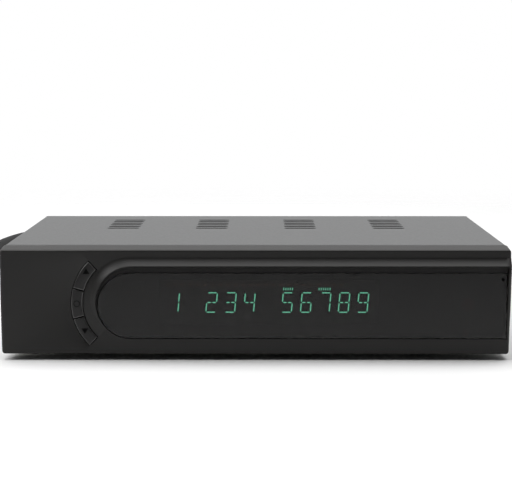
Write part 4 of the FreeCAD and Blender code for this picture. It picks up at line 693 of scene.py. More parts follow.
@dataclass
class FrontPanel:
    """Moulded front: face, hooded lens recess with a tilted crest, key slot and skirt.

    The face is a strip of rays: along the top from the right, round the keys' centre on
    the left, and back along the bottom. Each ray crosses the same profile from the lens
    edge outwards. lens, crest and flare are bullets: x, z and radius of their round end.
    From lens to crest reaches the hood, from crest to flare its flank, and least is the
    least width of each. Where the hood is narrower than full_hood, its fine steps shrink
    with it. brim is the width and depth of the sunk rim beside the lens; slot_share caps
    the slot's reach, in shares of the way from the flank to the edge; ease is the face
    edge's radius above and below, and what is added to it at the ends.
    """

    half: float = 90.5
    low: float = 2.0
    top: float = 39.2
    corners: tuple = (1.3, 1.3, 1.0, 1.0)
    face: float = -63.35
    seat: float = -61.5
    back: float = -60.35
    rear: float = -54.35
    key: tuple = (-44.5, 20.3)
    slot: tuple = (16.52, 20.93)
    slot_turn: tuple = (133.55, 227.45)
    slot_depth: float = 3.0
    slot_dip: float = 0.12
    slot_share: tuple = (0.33, 0.55)
    lens: tuple = (-44.2, 19.35, 11.85)
    crest: tuple = (-43.45, 20.5, 13.2)
    flare: tuple = (-44.9, 22.67, 13.93)
    least: tuple = (0.12, 0.08)
    full_hood: float = 2.2
    brim: tuple = (0.3, 0.15)
    hood_edge: float = 0.62
    proud: float = 2.5
    crest_low: float = 11.2
    cove_power: float = 1.4
    ease: tuple = (0.5, 0.6)
    recess_points: int = 9
    end_wall: float = 1.1
    end_step: float = 0.03
    end_steps: tuple = (0.001, 0.06, 0.14, 0.26, 0.4, 0.6, 0.85, 1.08, 1.14)
    near_end: tuple = (1.3, 1.45, 1.6, 1.8, 2.0, 2.3)
    end_radius: float = 1.1
    end_fade: float = 2.0
    gusset: tuple = (88.4, 0.7)
    wall: float = 1.6
    rim: float = 0.35
    skirt: tuple = (2.5, 5.0, 7.5, 8.65)
    rise: float = 0.8
    rise_from: float = 35.0
    tuck: float = 0.3
    tuck_below: tuple = (19.35, 16.35)
    tuck_past: tuple = (80.0, 10.5)
    middle: tuple = (5.0, 20.4)
    window: tuple = ((-34, 12.4), (44, 12.4), (44, 28.4), (-34, 28.4))
    lip: tuple = (-89.05, 89.05, 2.95, 39.05, 0.8, 4)
    lip_steps: tuple = ((1.6, -0.9), (0, -0.9), (0, 2.6), (0.2, 2.9), (1.3, 2.9), (1.6, 2.6),
                        (1.6, -0.9))
    lugs: tuple = (-40.0, 40.0)
    lug_half: float = 4.0
    lug_end: float = -41.85
    lug_heights: tuple = (2.85, 5.3)

    def height(self, z: np.ndarray) -> np.ndarray:
        """How far the crest stands out at height z: proud * (z - crest_low) / (top - crest_low)."""
        top = self.crest[1] + self.crest[2]
        return self.proud * np.clip((z - self.crest_low) / (top - self.crest_low), 0, None)

    def rays(self) -> Rays:
        """Stations from the top right, round the keys' centre, to the bottom right.

        They stand closer at the right end, at the left corners and at the slot's ends.

        Returns:
            The rays.
        """
        x, z = self.key
        run = np.concatenate([self.half - np.array(self.end_steps + self.near_end),
                              np.linspace(86, x + 2, 24), x + np.array([1.5, 1.0, 0.5])])
        turn = [np.arange(90, 271, 2.0)]
        for height in (self.top, self.low):
            corner = math.degrees(math.atan2(height - z, -self.half - x)) % 360
            turn.append(np.linspace(corner - 2, corner + 2, 25))
        for edge in self.slot_turn:
            turn.append(edge + np.array([-0.45, -0.08, 0.0, 0.08, 0.45]))
        fan = np.radians(np.unique(np.concatenate(turn).round(4)))
        upper = np.column_stack([run, np.full(len(run), z)])
        base = np.vstack([upper, np.tile(self.key, (len(fan), 1)), upper[::-1]])
        way = np.vstack([np.tile((0.0, 1.0), (len(run), 1)),
                         unit(fan), np.tile((0.0, -1.0), (len(run), 1))])
        return Rays(base, way)

    def settle(self, points: np.ndarray) -> np.ndarray:
        """Bends a grid to the moulding: tucked-in lower sides, sloping top, round right end.

        The sides move in by tuck and the top rises by rise, each with its share of the
        height and depth. The right end falls back by r - sqrt(r^2 - past^2), which fades
        out over end_fade of depth before the rear.

        Args:
            points: (..., 3) points.

        Returns:
            New points of the same shape.
        """
        x, y, z = np.moveaxis(points, -1, 0)
        points = points.copy()
        low = np.clip((self.tuck_below[0] - z) / self.tuck_below[1], 0, 1)
        side = np.clip((np.abs(x) - self.tuck_past[0]) / self.tuck_past[1], 0, 1)
        points[..., 0] = x - np.sign(x) * self.tuck * (low * side)
        back = np.clip((y - self.face) / (self.rear - self.face), 0, 1)
        high = np.clip((z - self.rise_from) / (self.top - self.rise_from), 0, 1)
        points[..., 2] = z + self.rise * back * high
        radius = self.end_radius
        past = np.clip(x - (self.half - radius), 0, radius - 1e-4)
        front = np.clip((self.rear - self.end_fade - y) / self.end_fade, 0, 1)
        points[..., 1] = y + front * (radius - np.sqrt(radius ** 2 - past ** 2))
        return points

    def recess(self, rays: Rays, lens: np.ndarray, crest: np.ndarray) -> list:
        """Profile of the recess: its wall, the brim, the hood's underside and the thin crest.

        Args:
            rays: the stations.
            lens: reach of the lens' edge.
            crest: reach of the crest.

        Returns:
            Profile points, as strip has them.
        """
        height = self.height(rays.z(crest))
        scale = np.minimum(1, (crest - lens) / self.full_hood)
        brim = lens + self.brim[0] * scale
        under = crest - self.hood_edge * scale
        low = np.minimum(height - 0.1, -self.brim[1])
        drop = np.maximum(low, height * 0.62 - 0.25)
        rows = [(lens, self.face - self.seat), (lens, low - 0.2), (brim, low)]
        rows += [(brim + (under - brim) * share, low + (drop - low) * share)
                 for share in (0.25, 0.5, 0.75, 1.0)]
        rows += [(under + 0.04 * scale, drop - 0.25 * scale),
                 (crest - 0.42 * scale, drop - 0.2 * scale),
                 (crest - 0.40 * scale, height - 0.28 * scale),
                 (crest - 0.34 * scale, height - 0.1 * scale),
                 (crest - 0.24 * scale, height), (crest - 0.1 * scale, height - 0.005),
                 (crest, height - 0.04 * np.minimum(1, height))]
        return [(reach, depth, self.height(rays.z(reach))) for reach, depth in rows]

    def flank(self, rays: Rays, crest: np.ndarray, flare: np.ndarray) -> list:
        """Profile of the hood's flank: hollow, and straight next to the end wall.

        Args:
            rays: the stations.
            crest: reach of the crest.
            flare: reach of the flank's foot.

        Returns:
            Profile points, as strip has them.
        """
        height = self.height(rays.z(crest))
        gusset = np.clip((rays.base[:, 0] - self.gusset[0]) / self.gusset[1], 0, 1)
        rows = []
        for share in np.linspace(0.06, 1, 14):
            chord = height * (1 - share)
            hollow = height * (1 - share) ** self.cove_power
            rows.append((crest + (flare - crest) * share,
                         hollow * (1 - gusset) + chord * gusset, chord))
        return rows

    def plain(self, rays: Rays, flare: np.ndarray, edge: np.ndarray) -> list:
        """Profile of the plain face, with the keys' slot, the eased edge, skirt and rear rim.

        Args:
            rays: the stations.
            flare: reach of the flank's foot.
            edge: reach of the panel's edge.

        Returns:
            Profile points, as strip has them.
        """
        ease = self.ease[0] + self.ease[1] * rays.way[:, 0] ** 2
        first, second = (flare + share * (edge - flare) for share in self.slot_share)
        inner = np.minimum(self.slot[0], first)
        outer = np.minimum(self.slot[1], np.minimum(second, edge - ease - 0.4))
        angle = np.degrees(np.arctan2(rays.way[:, 1], rays.way[:, 0])) % 360
        fan = np.abs(rays.base[:, 0] - self.key[0]) < FINE
        start, end = self.slot_turn
        cut = fan & (angle > start + 0.02) & (angle < end - 0.02)
        sunk, dip = np.where(cut, -self.slot_depth, 0.0), np.where(cut, -self.slot_dip, 0.0)
        rows = [(reach, depth, 0.0) for reach, depth in (
            (np.maximum(inner - 0.14, flare + 0.002), 0.0), (inner - 0.03, dip * 0.4),
            (inner, dip), (inner + 0.01, sunk), (outer - 0.01, sunk), (outer, dip),
            (outer + 0.03, dip * 0.4), (outer + 0.14, 0.0), (edge - ease - 0.25, 0.0))]
        for turn in np.radians([0, 18, 36, 54, 72, 90]):
            depth = -ease * (1 - math.cos(turn))
            rows.append((edge - ease * (1 - math.sin(turn)), depth, depth))
        full = self.rear - self.face
        skirt = [(depth, 0) for depth in self.skirt] + [(full, self.rim), (full, self.wall)]
        return rows + [(edge - inset, -depth, -depth) for depth, inset in skirt]

    def strip(self) -> np.ndarray:
        """The face's grid: each profile point is base + reach * way, at a depth from the face.

        A profile point is (reach, depth, closed): its distance along the ray, how far it
        stands out of the face, and the same in the end wall, which shuts the recess.

        Returns:
            (stations, profile points, 3) points.
        """
        rays = self.rays()
        lens = rays.to_bullet(*self.lens)
        crest = np.maximum(rays.to_bullet(*self.crest), lens + self.least[0])
        flare = np.maximum(rays.to_bullet(*self.flare), crest + self.least[1])
        edge = rays.to_outline(rectangle(-self.half, self.half, self.low, self.top,
                                         self.corners, 9))
        reach, depth, closed = (np.stack(np.broadcast_arrays(*rows), axis=1) for rows in zip(
            *self.recess(rays, lens, crest), *self.flank(rays, crest, flare),
            *self.plain(rays, flare, edge)))
        wall = self.half - self.end_wall - self.end_step
        shut = np.clip((rays.base[:, :1] - wall) / self.end_step, 0, 1)
        flat = rays.base[:, None] + rays.way[:, None] * reach[..., None]
        return np.stack([flat[..., 0], self.face - (depth * (1 - shut) + closed * shut),
                         flat[..., 1]], axis=-1)

    def make(self) -> None:
        """The front panel as one piece: face, end wall, right side, seat, back and lip."""
        shape = Surface()
        strip = self.strip()
        face = strip[:, :-2]
        # The recess strips take the second finish: painted shade in the lens recess.
        recess = np.arange(face.shape[1] - 1) < self.recess_points
        shape.grid(self.settle(face), part=recess.astype(int))
        xs = self.half - np.array(self.end_steps)
        zs = np.linspace(self.lens[1] + self.lens[2], self.lens[1] - self.lens[2], 24)
        wall = np.stack(np.broadcast_arrays(
            xs[None, :], self.face - self.height(zs)[:, None], zs[:, None]), axis=-1).copy()
        wall[:, -1, 1] = self.seat
        shape.grid(self.settle(wall))
        shown = face.shape[1] - len(self.skirt)
        profile = np.concatenate([strip[0, :shown][::-1], wall[:, 0], strip[-1, :shown]])
        side = np.tile(profile, (len(self.skirt) + 1, 1, 1))
        side[1:, :, 1] = self.face + np.array(self.skirt)[:, None]
        shape.grid(self.settle(side))
        hole = self.add_seat(shape, strip, wall)
        self.add_back(shape, strip, side[-1, -2:0:-1], hole)
        self.add_lip(shape)
        shape.piece("front_moulding", [FRONT_BLACK, RECESS_PAINTED_SHADE], "front_plastic",
                    ["front_panel"], sharp=32)

    def add_seat(self, shape: Surface, strip: np.ndarray, wall: np.ndarray) -> np.ndarray:
        """Floor of the lens recess with the display window cut in it.

        Args:
            shape: the surface that it is added to.
            strip: the face's grid, whose first column is the recess' edge.
            wall: the end wall's grid, whose last column closes that edge.

        Returns:
            (n, 2) points of the window's outline, one for each point of the recess' edge.
        """
        window = np.array(self.window)
        skip = len(self.end_steps) - 1
        edge = np.vstack([strip[skip:-skip, 0], wall[-2:0:-1, -1]])
        way = edge[:, [0, 2]] - self.middle
        way /= np.linalg.norm(way, axis=1)[:, None]
        rays = Rays(np.tile(self.middle, (len(way), 1)), way)
        hole = rays.base + way * rays.to_outline(window)[:, None]
        for corner in window:
            hole[np.argmin(np.sum((hole - corner) ** 2, axis=1))] = corner
        loops = [edge, upright(hole, self.seat), upright(hole, self.back)]
        # The seat takes the darker finish as well: painted shade behind the lens.
        shape.band(self.settle(np.stack(loops)), part=1)
        return hole

    def add_back(self, shape: Surface, strip: np.ndarray, side: np.ndarray,
                 hole: np.ndarray) -> None:
        """Rear rim, inside of the skirt and back of the front wall, up to the window.

        The loops of the rear and of the window start at the same station. The rear's has
        more points at the right end, and some of them share a point of the window.

        Args:
            shape: the surface that they are added to.
            strip: the face's grid, whose last two columns lie on the rear rim.
            side: (n, 3) points of the right side's rear edge, from below.
            hole: (n, 2) points of the window's outline.
        """
        loops = [np.vstack([strip[:, -3], side])]
        for column, inset in ((-2, self.rim), (-1, self.wall)):
            run, end = strip[:, column].copy(), side.copy()
            run[:, 0] = np.minimum(run[:, 0], self.half - inset)
            end[:, 0] = self.half - inset
            end[:, 1] = self.rear
            end[:, 2] = np.clip(end[:, 2], run[-1, 2], run[0, 2])
            loops.append(np.vstack([run, end]))
        loops.append(loops[-1] * (1, 0, 1) + (0, self.back, 0))
        skip = len(self.end_steps) - 1
        same = len(strip) - 2 * skip
        spare = len(loops[0]) - same
        follow = np.linspace(0, len(hole) - same + 1, spare + 2)[1:-1].round().astype(int)
        index = np.concatenate([np.arange(same), same - 1 + follow]) % len(hole)
        loops = np.roll(np.stack(loops), -skip, axis=1)
        shape.band(self.settle(np.vstack([loops, upright(hole[index], self.back)[None]])))

    def add_lip(self, shape: Surface) -> None:
        """The lip that slips into the cover and the two lugs.

        Args:
            shape: the surface that they are added to.
        """
        steps = [(inset, self.rear + depth) for inset, depth in self.lip_steps]
        shape.band(rings(rectangle(*self.lip), steps))
        for x in self.lugs:
            shape.block((x - self.lug_half, x + self.lug_half), (self.rear - 1, self.lug_end),
                        self.lug_heights, 0.3)


@dataclass
class DisplayLens:
    """Smoked sheet over the display, its left end round, its edges lightly broken."""

    centre: tuple = (-44.2, 19.35)
    radius: float = 11.75
    right: float = 89.3
    corner: float = 0.5
    front: float = -63.05
    back: float = -61.55

    def outline(self) -> np.ndarray:
        """The sheet's outline: a half circle, then two lightly rounded corners.

        Returns:
            (n, 2) points, counter-clockwise from the top of the half circle.
        """
        bow = unit(np.radians(np.linspace(90, 270, 61))) * self.radius + self.centre
        x, z, inset = self.right - self.corner, self.centre[1], self.radius - self.corner
        sin, cos = (self.corner * f(np.linspace(0, np.pi / 2, 5)) for f in (np.sin, np.cos))
        return np.vstack([bow, np.column_stack([x + sin, z - inset - cos]),
                          np.column_stack([x + cos, z + inset + sin])])

    def make(self) -> None:
        """The lens as one closed piece."""
        outline = self.outline()
        loops = rings(outline, [
            (0.3, self.front), (0.12, self.front), (0.03, self.front + 0.03),
            (0, self.front + 0.12), (0, self.back - 0.1), (0.1, self.back), (0.3, self.back)])
        spine = np.column_stack([np.clip(outline[:, 0], self.centre[0], self.right - 6),
                                 np.full(len(outline), self.centre[1])])
        shape = Surface().band(loops)
        shape.band([loops[0], upright(spine, self.front)])
        shape.band([loops[-1], upright(spine, self.back)])
        shape.piece("lens_sheet", [SMOKED], "smoked_acrylic", ["display_lens"])


# Segments of each figure: a to f round it clockwise from the top, g and h its middle bar.
SEGMENTS = {"0": "abcdef", "1": "bc", "2": "abghed", "3": "abghcd", "4": "fghbc", "5": "afghcd",
            "6": "afghedc", "7": "abc", "8": "abcdefgh", "9": "abcdfgh"}
# End points of the segments, in shares of the figure's width and height.
SEGMENT_ENDS = {"a": ((0, 1), (1, 1)), "b": ((1, 1), (1, 0.5)), "c": ((1, 0.5), (1, 0)),
                "d": ((0, 0), (1, 0)), "e": ((0, 0.5), (0, 0)), "f": ((0, 1), (0, 0.5)),
                "g": ((0, 0.5), (0.5, 0.5)), "h": ((0.5, 0.5), (1, 0.5))}


@dataclass
class DisplayFigures:
    """Lit figures of the display: plain numbers in eleven cells, drawn with slanting strokes.

    tick_rows holds each row's x and number of ticks, tick a tick's lean, its low and high end
    and its stroke, and filament the height, length and stroke of the haze's lines.
    """

    text: str = "1 234 56789"
    first: float = -29.4
    pitch: float = 6.75
    low: float = 16.45
    width: float = 3.5
    height: float = 7.0
    stroke: float = 0.42
    slant: float = 0.09
    y: float = -59.4
    tick_rows: tuple = ((10.1, 5), (22.7, 6))
    tick_pitch: float = 0.78
    tick: tuple = (0.08, 24.1, 25.5, 0.3)
    haze: tuple = (-32.5, 30, 2.7)
    filament: tuple = (26.3, 2.3, 0.55)

    def line(self, shape: Surface, start: Numbers, end: Numbers, thick: float) -> None:
        """A flat stroke with pointed ends that stop half its width short.

        Args:
            shape: the surface that it is added to.
            start: (x, z) of one end.
            end: (x, z) of the other.
            thick: its width.
        """
        start, end = np.array(start, float), np.array(end, float)
        way = (end - start) / np.linalg.norm(end - start)
        side = np.array([-way[1], way[0]]) * thick / 2
        start, end = start + way * thick / 2, end - way * thick / 2
        near, far = start + way * thick / 2, end - way * thick / 2
        outline = np.array([start, near - side, far - side, end, far + side, near + side])
        shape.tube(np.stack([upright(outline, self.y), upright(outline, self.y + 0.03)]))

    def make(self) -> None:
        """The figures, two rows of small ticks above them and the haze of the filaments."""
        shape, haze = Surface(), Surface()
        for index, sign in enumerate(self.text):
            left = self.first + index * self.pitch - self.width / 2
            for segment in SEGMENTS.get(sign, ""):
                rise = [high * self.height for _, high in SEGMENT_ENDS[segment]]
                ends = [(left + across * self.width + up * self.slant, self.low + up)
                        for (across, _), up in zip(SEGMENT_ENDS[segment], rise)]
                self.line(shape, *ends, self.stroke)
        lean, low, high, stroke = self.tick
        for x, count in self.tick_rows:
            for at in x + np.arange(count) * self.tick_pitch:
                self.line(shape, (at, low), (at + lean, high), stroke)
        z, length, stroke = self.filament
        for at in np.arange(*self.haze):
            self.line(haze, (at, z), (at + length, z), stroke)
        shape.piece("display_figures", [TEAL], "display_glass")
        haze.piece("filament_haze", [FILAMENT], "display_glass")


@dataclass
class Keys:
    """Three keys in an arc round the lens' end, domed, with a plain mark on each."""

    centre: tuple = (-44.5, 20.3)
    inner: float = 16.65
    outer: float = 20.8
    start: float = 134.0
    span: float = 31.0
    gap: float = 0.25
    count: int = 22
    front: float = -63.85
    dome: float = 0.12
    rear: float = -58.4
    names: tuple = ("up", "ok", "down")
    mark_spots: tuple = ((143.6, 19.0), (180.5, 18.73), (211.5, 18.73))

    def key(self, index: int) -> None:
        """One key: its outline is a ring sector, its face a low dome with rounded edges.

        The dome stands out by dome * (1 - s^2) * sin(pi t)^0.5 across and along the key.

        Args:
            index: 0, 1 or 2 from the top.
        """
        first = self.start + index * self.span
        ends = np.degrees(self.gap / 2 / self.outer)
        turn = np.radians(np.linspace(first + ends, first + self.span - ends, self.count))
        arc = unit(turn)
        corner = np.vstack([arc * self.outer, arc[::-1] * self.inner]) + self.centre
        shape = Surface()
        loops = rings(corner, [(0, self.rear), (0, self.front + 0.5), (0.07, self.front + 0.3),
                               (0.19, self.front + 0.14), (0.36, self.front + 0.05)])
        # The rounded edges take the second finish, whose lighter tone is a painted highlight.
        shape.band(loops[:2]).band(loops[1:], part=1)
        edge = loops[-1][:, [0, 2]]
        inside = np.clip(np.arange(self.count), 1, self.count - 2)
        spine = ((edge[:self.count] + edge[:self.count - 1:-1]) / 2)[inside]
        spine = np.vstack([spine, spine[::-1]])
        along = np.tile(np.sin(np.pi * inside / (self.count - 1)) ** 0.5, 2)
        share = np.linspace(1, 0, 5)[:, None]
        flat = share[..., None] * edge + (1 - share[..., None]) * spine
        lift = self.dome * (1 - share ** 2) * along
        shape.band(np.stack([flat[..., 0], self.front + 0.05 - lift, flat[..., 1]], axis=-1))
        name = self.names[index]
        shape.fan(loops[0]).piece(f"key_cap_{name}", [KEY_BLACK, KEY_EDGE_HIGHLIGHT], "key_plastic",
                                  [f"button_{name}"], f"key_{name}", sharp=50)

    def mark(self, index: int) -> None:
        """A triangle for up or down, or a ring for the middle key, just proud of the cap.

        Args:
            index: 0, 1 or 2 from the top.
        """
        degrees, radius = self.mark_spots[index]
        x = self.centre[0] + radius * math.cos(math.radians(degrees))
        z = self.centre[1] + radius * math.sin(math.radians(degrees))
        name, y = self.names[index], self.front - self.dome
        if name == "ok":
            steps = [(0, y + 0.1), (0, y - 0.03), (0.22, y - 0.03), (0.22, y + 0.1), (0, y + 0.1)]
            shape = Surface().band(rings(disc(x, z, 1.15, 36), steps))
        else:
            way = 1 if name == "up" else -1
            outline = eased([(x - 1.2 * way, z - 0.8 * way), (x + 1.2 * way, z - 0.8 * way),
                             (x, z + 1.2 * way)], 0.15, 4)
            shape = Surface().tube(rings(outline, [(0, y + 0.1), (0, y - 0.02), (0.05, y - 0.03)]))
        shape.piece(f"key_mark_{name}", [KEY_MARK], "key_plastic", (), f"key_{name}")

    def make(self) -> None:
        """All keys and marks."""
        for index in range(len(self.names)):
            self.key(index)
            self.mark(index)


# --------------------------------------------------------------------------- rear and case


@dataclass
class Turned:
    """Turned parts of one kind.

    A part is a place, x, y and z of the point where along is 0, and a profile of
    (radius, along) pairs.
    """

    name: str
    finish: Finish
    slot: str
    replaces: tuple
    axis: Axis
    count: int
    parts: tuple

    def make(self) -> None:
        """The parts as one piece."""
        shape = Surface()
        for place, profile in self.parts:
            shape.band(lathe(profile, place, self.axis, self.count))
        shape.piece(self.name, [self.finish], self.slot, self.replaces)


def button(radius: float) -> list:
    """Profile of a low disc with a rim."""
    return [(0, 0.02), (radius * 0.75, 0.02), (radius * 0.8, 0), (radius, 0), (radius, -0.4),
            (0, -0.4)]


def threaded(pitch: float = 0.79, count: int = 73) -> list:
    """Profile of the aerial barrel: the thread's radius is 4.6 + 0.13 cos(2 pi along / pitch)."""
    along = np.linspace(4.4, 11.6, count)
    return [(3.0, 0), (4.45, 0), (4.45, 4.35),
            *zip(4.6 + 0.13 * np.cos(2 * np.pi * along / pitch), along), (4.15, 11.7),
            (4.15, 12.55), (3.95, 12.8), (3.35, 12.8), (3.0, 12.45), (3.0, 0)]


AERIAL = (65.9, 16.5)
SENSOR_WINDOWS = Turned("sensor_windows", SENSOR_RED, "lamp_plastic", (), Axis.FRONT, 32, (
    ((75.6, -61.52, 19.6), button(2.3)), ((74.9, -61.52, 9.6), button(1.2))))
# The pin hole is a thin near-black disc at the lens face: painted shade in place of a hole.
PIN_HOLE = Turned("pin_hole", HOLE_PAINTED_SHADE, "smoked_acrylic", (), Axis.FRONT, 24, (
    ((87.7, -63.06, 28.8), [(0, 0), (0.496, 0), (0.62, 0.01), (0.62, -0.3), (0, -0.3)]),))
FOOT_PROFILE = [(0, 2.0), (5.0, 2.0), (5.0, 0.6), (4.9, 0.25), (4.65, 0.05), (4.3, 0), (3.7, 0.05),
                (3.5, 0.35), (3.2, 0.45), (0, 0.45)]
FEET = Turned("feet", FOOT, "foot_rubber", ("rubber_feet",), Axis.UP, 40, tuple(
    ((x, y, 0), FOOT_PROFILE) for y in (-37.35, 36.65) for x in (-68.0, 68.0)))
AERIAL_BARREL = Turned("aerial_barrel", NICKEL, "nickel", ("f_barrel",), Axis.REAR, 64, (
    ((AERIAL[0], 53.05, AERIAL[1]), threaded()),))
AUDIO_RING = Turned("audio_ring", ZINC, "zinc_screw", ("rca_ring",), Axis.REAR, 56, (
    ((12.2, 53.05, 16.35), [(3.0, 0), (3.65, 0), (3.65, 1.4), (4.15, 1.5), (4.15, 9.5),
                            (4.05, 9.72), (3.9, 9.8), (3.25, 9.8), (3.05, 9.65), (3.0, 9.4),
                            (3.0, 0)]),))
FLAT_WASHER = Turned("flat_washer", NICKEL, "nickel", ("scart_washer",), Axis.REAR, 48, (
    ((-24.7, 53.85, 30.6), [(1.45, 0), (2.65, 0), (2.75, 0.1), (2.75, 0.4), (2.65, 0.5),
                            (1.5, 0.5), (1.45, 0)]),))


def toothed_washer() -> None:
    """Washer with sixteen outer teeth: its rim is 6.05 + 0.55 clip(1.6 cos 16t)."""
    turn = full_turn(160)
    rim = 6.05 + 0.55 * np.clip(1.6 * np.cos(turn * 16), -1, 1)
    twist = 0.12 * np.sin(turn * 16)
    steps = ((4.9, 53.87), (5.5, 53.87), (rim, 53.95 + twist), (rim, 54.4 + twist * 0.5),
             (5.5, 54.5), (4.9, 54.5), (4.9, 53.87))
    x, z = AERIAL
    rows = [np.stack(np.broadcast_arrays(x + radius * np.cos(turn), y,
                                         z + radius * np.sin(turn)), axis=-1)
            for radius, y in steps]
    Surface().band(rows).piece("toothed_washer", [NICKEL], "nickel", ["f_washer"], sharp=50)


@dataclass
class PanScrews:
    """Pan-head screws with a cross recess, their heads to the rear.

    blade is the cross' half width and half length, in radii of the head; fall and sink are
    how far the rim and the cross lie below the head's top, in heights of the head; pitch is
    the thread's, in radii of the shank.
    """

    name: str
    finish: Finish
    slot: str
    replaces: str
    places: tuple
    head: float
    tall: float
    shank: float
    long: float
    blade: tuple = (0.13, 0.56)
    fall: float = 0.62
    sink: float = 0.55
    pitch: float = 0.45
    count: int = 96

    def screw(self, shape: Surface, x: float, y: float, z: float) -> None:
        """A domed head whose middle sinks where the cross is, and a threaded shank.

        The head's depth falls inside the cross, where the smaller of |u| and |v| is less
        than the blade's half width and the larger is less than its half length.

        Args:
            shape: the surface that it is added to.
            x: the axis' place to the right.
            y: the seat of the head.
            z: the axis' height.
        """
        radius = np.concatenate([np.linspace(0, 0.62, 13), np.linspace(0.7, 1.0, 7)]) * self.head
        turn = full_turn(self.count)
        u = radius[:, None] * np.cos(turn)
        v = radius[:, None] * np.sin(turn)
        rise = self.tall * (1 - self.fall * (radius / self.head) ** 4)[:, None] * np.ones_like(u)
        low = np.minimum(np.abs(u), np.abs(v))
        high = np.maximum(np.abs(u), np.abs(v))
        wide, long = (self.head * share for share in self.blade)
        sunk = rise - self.tall * self.sink * (1.15 - high / long)
        rise = np.where((low < wide) & (high < long), sunk, rise)
        shape.band(np.stack([x + u, y + rise, z + v], axis=-1))
        pitch = self.shank * self.pitch
        thread = [(self.head, self.tall * 0.38), (self.head, 0.02), (self.shank, 0)]
        for step in np.arange(0, self.long, pitch):
            thread += [(self.shank * 0.8, -step - pitch * 0.2), (self.shank, -step - pitch * 0.7)]
        thread.append((0, -self.long - pitch))
        shape.band(lathe(thread, (x, y, z), Axis.REAR, self.count))

    def make(self) -> None:
        """The screws as one piece."""
        shape = Surface()
        for place in self.places:
            self.screw(shape, *place)
        shape.piece(self.name, [self.finish], self.slot, [self.replaces])


@dataclass
class LongSocket:
    """Twenty-one pole socket: a rounded shell, a deep groove and a block with stepped slots.

    tab is the half width and the top of the ear for its screw, rear the end of its body
    inside the case, and stepped the half width, low and high edge of each part of a slot.
    """

    left: float = -48.65
    right: float = -0.75
    low: float = 9.4
    high: float = 26.6
    slant: float = 3.0
    corners: tuple = (2.6, 2.6, 3, 2.6)
    face: float = 54.85
    panel: float = 53.9
    rear: float = 37.6
    tab: tuple = (3.6, 33.6)
    middle: tuple = (-24.7, 18.0)
    block: tuple = (40.7, 11.2)
    groove: float = 7.5
    lip: float = 1.7
    pitch: float = 3.81
    row: float = 2.5
    stepped: tuple = ((0.95, -1.75, 0.35), (1.6, 0.2, 0.95), (0.95, 0.8, 1.7))

    def slot(self, shape: Surface, x: float, z: float) -> None:
        """One stepped slot: thin near-black blocks just proud of the block's face, painted shade in
        place of a tall narrow opening with a wider bar above its middle.

        Args:
            shape: the surface that it is added to.
            x: its middle.
            z: its middle.
        """
        depth = (self.face - 0.52, self.face - 0.44)
        for half, low, high in self.stepped:
            shape.block((x - half, x + half), depth, (z + low, z + high), 0.03)

    def make(self) -> None:
        """Shell with its block and mounting, then the slots; the side at +X leans in."""
        outline = eased([(self.left, self.low), (self.right - self.slant, self.low),
                         (self.right, self.high), (self.left, self.high)], self.corners, 8)
        well, face, panel = self.face - self.groove, self.face, self.panel
        (x, z), (wide, tall) = self.middle, self.block
        spot = np.broadcast_to(self.middle, outline.shape)
        shell = Surface().band(rings(outline, [
            (0, panel), (0, face - 0.35), (0.12, face - 0.1), (0.35, face), (1.3, face),
            (1.5, face - 0.1), (1.62, face - 0.35), (self.lip, well)]))
        shell.tube(rings(rectangle(x - wide / 2, x + wide / 2, z - tall / 2, z + tall / 2, 0.6),
                         [(0, well), (0, face - 0.7), (0.15, face - 0.5)]))
        shell.band([upright(drawn_in(outline, self.lip), well), upright(spot, well)])
        shell.band([upright(outline, panel), upright(spot, panel)])
        half, top = self.tab
        shell.block((x - half, x + half), (panel - 4, panel - 0.2), (self.high - 0.5, top), 0.4)
        shell.block((self.left + 0.5, self.right - 3.5), (self.rear, panel - 6.6),
                    (self.low + 0.4, self.high - 0.4), 0.5)
        shell.piece("long_socket_shell", [SOCKET_GREY], "socket_plastic", ["scart_housing"])
        slots = Surface()
        for at in (np.arange(10) - 4.5) * self.pitch:
            self.slot(slots, x + at, z + self.row)
            self.slot(slots, x + at - self.pitch / 2, z - self.row)
        self.slot(slots, x + 5 * self.pitch, z - self.row)
        # The slots are painted shade: near-black blocks that stand for the openings and hide the
        # contacts.
        slots.piece("long_socket_slot_shade", [HOLE_PAINTED_SHADE], "socket_plastic", ["scart_contacts"])


def data_contacts() -> None:
    """Four contacts in the data socket."""
    shape = Surface()
    for z in (13.9, 16.4, 18.9, 21.4):
        shape.block((49.1, 49.9), (42.5, 52.7), (z - 0.55, z + 0.55), 0.12)
    shape.piece("data_contacts", [COPPER], "brass")


def mitre_lines() -> None:
    """Thin near-black strips where the cover's rear flanges meet at its upper corners: painted
    shade in the gaps.
    """
    lines = Surface()
    for sign in (-1, 1):
        outer, inner = np.array([(sign * 89.9, 39.9), (sign * 85.95, 37.25)])
        side = np.array([0.06, 0.09 * sign])
        outline = np.array([outer - side, outer + side, inner + side, inner - side])
        lines.tube(np.stack([upright(outline, 54.64), upright(outline, 54.66)]))
    lines.piece("mitre_lines", [HOLE_PAINTED_SHADE], "cover_paint")


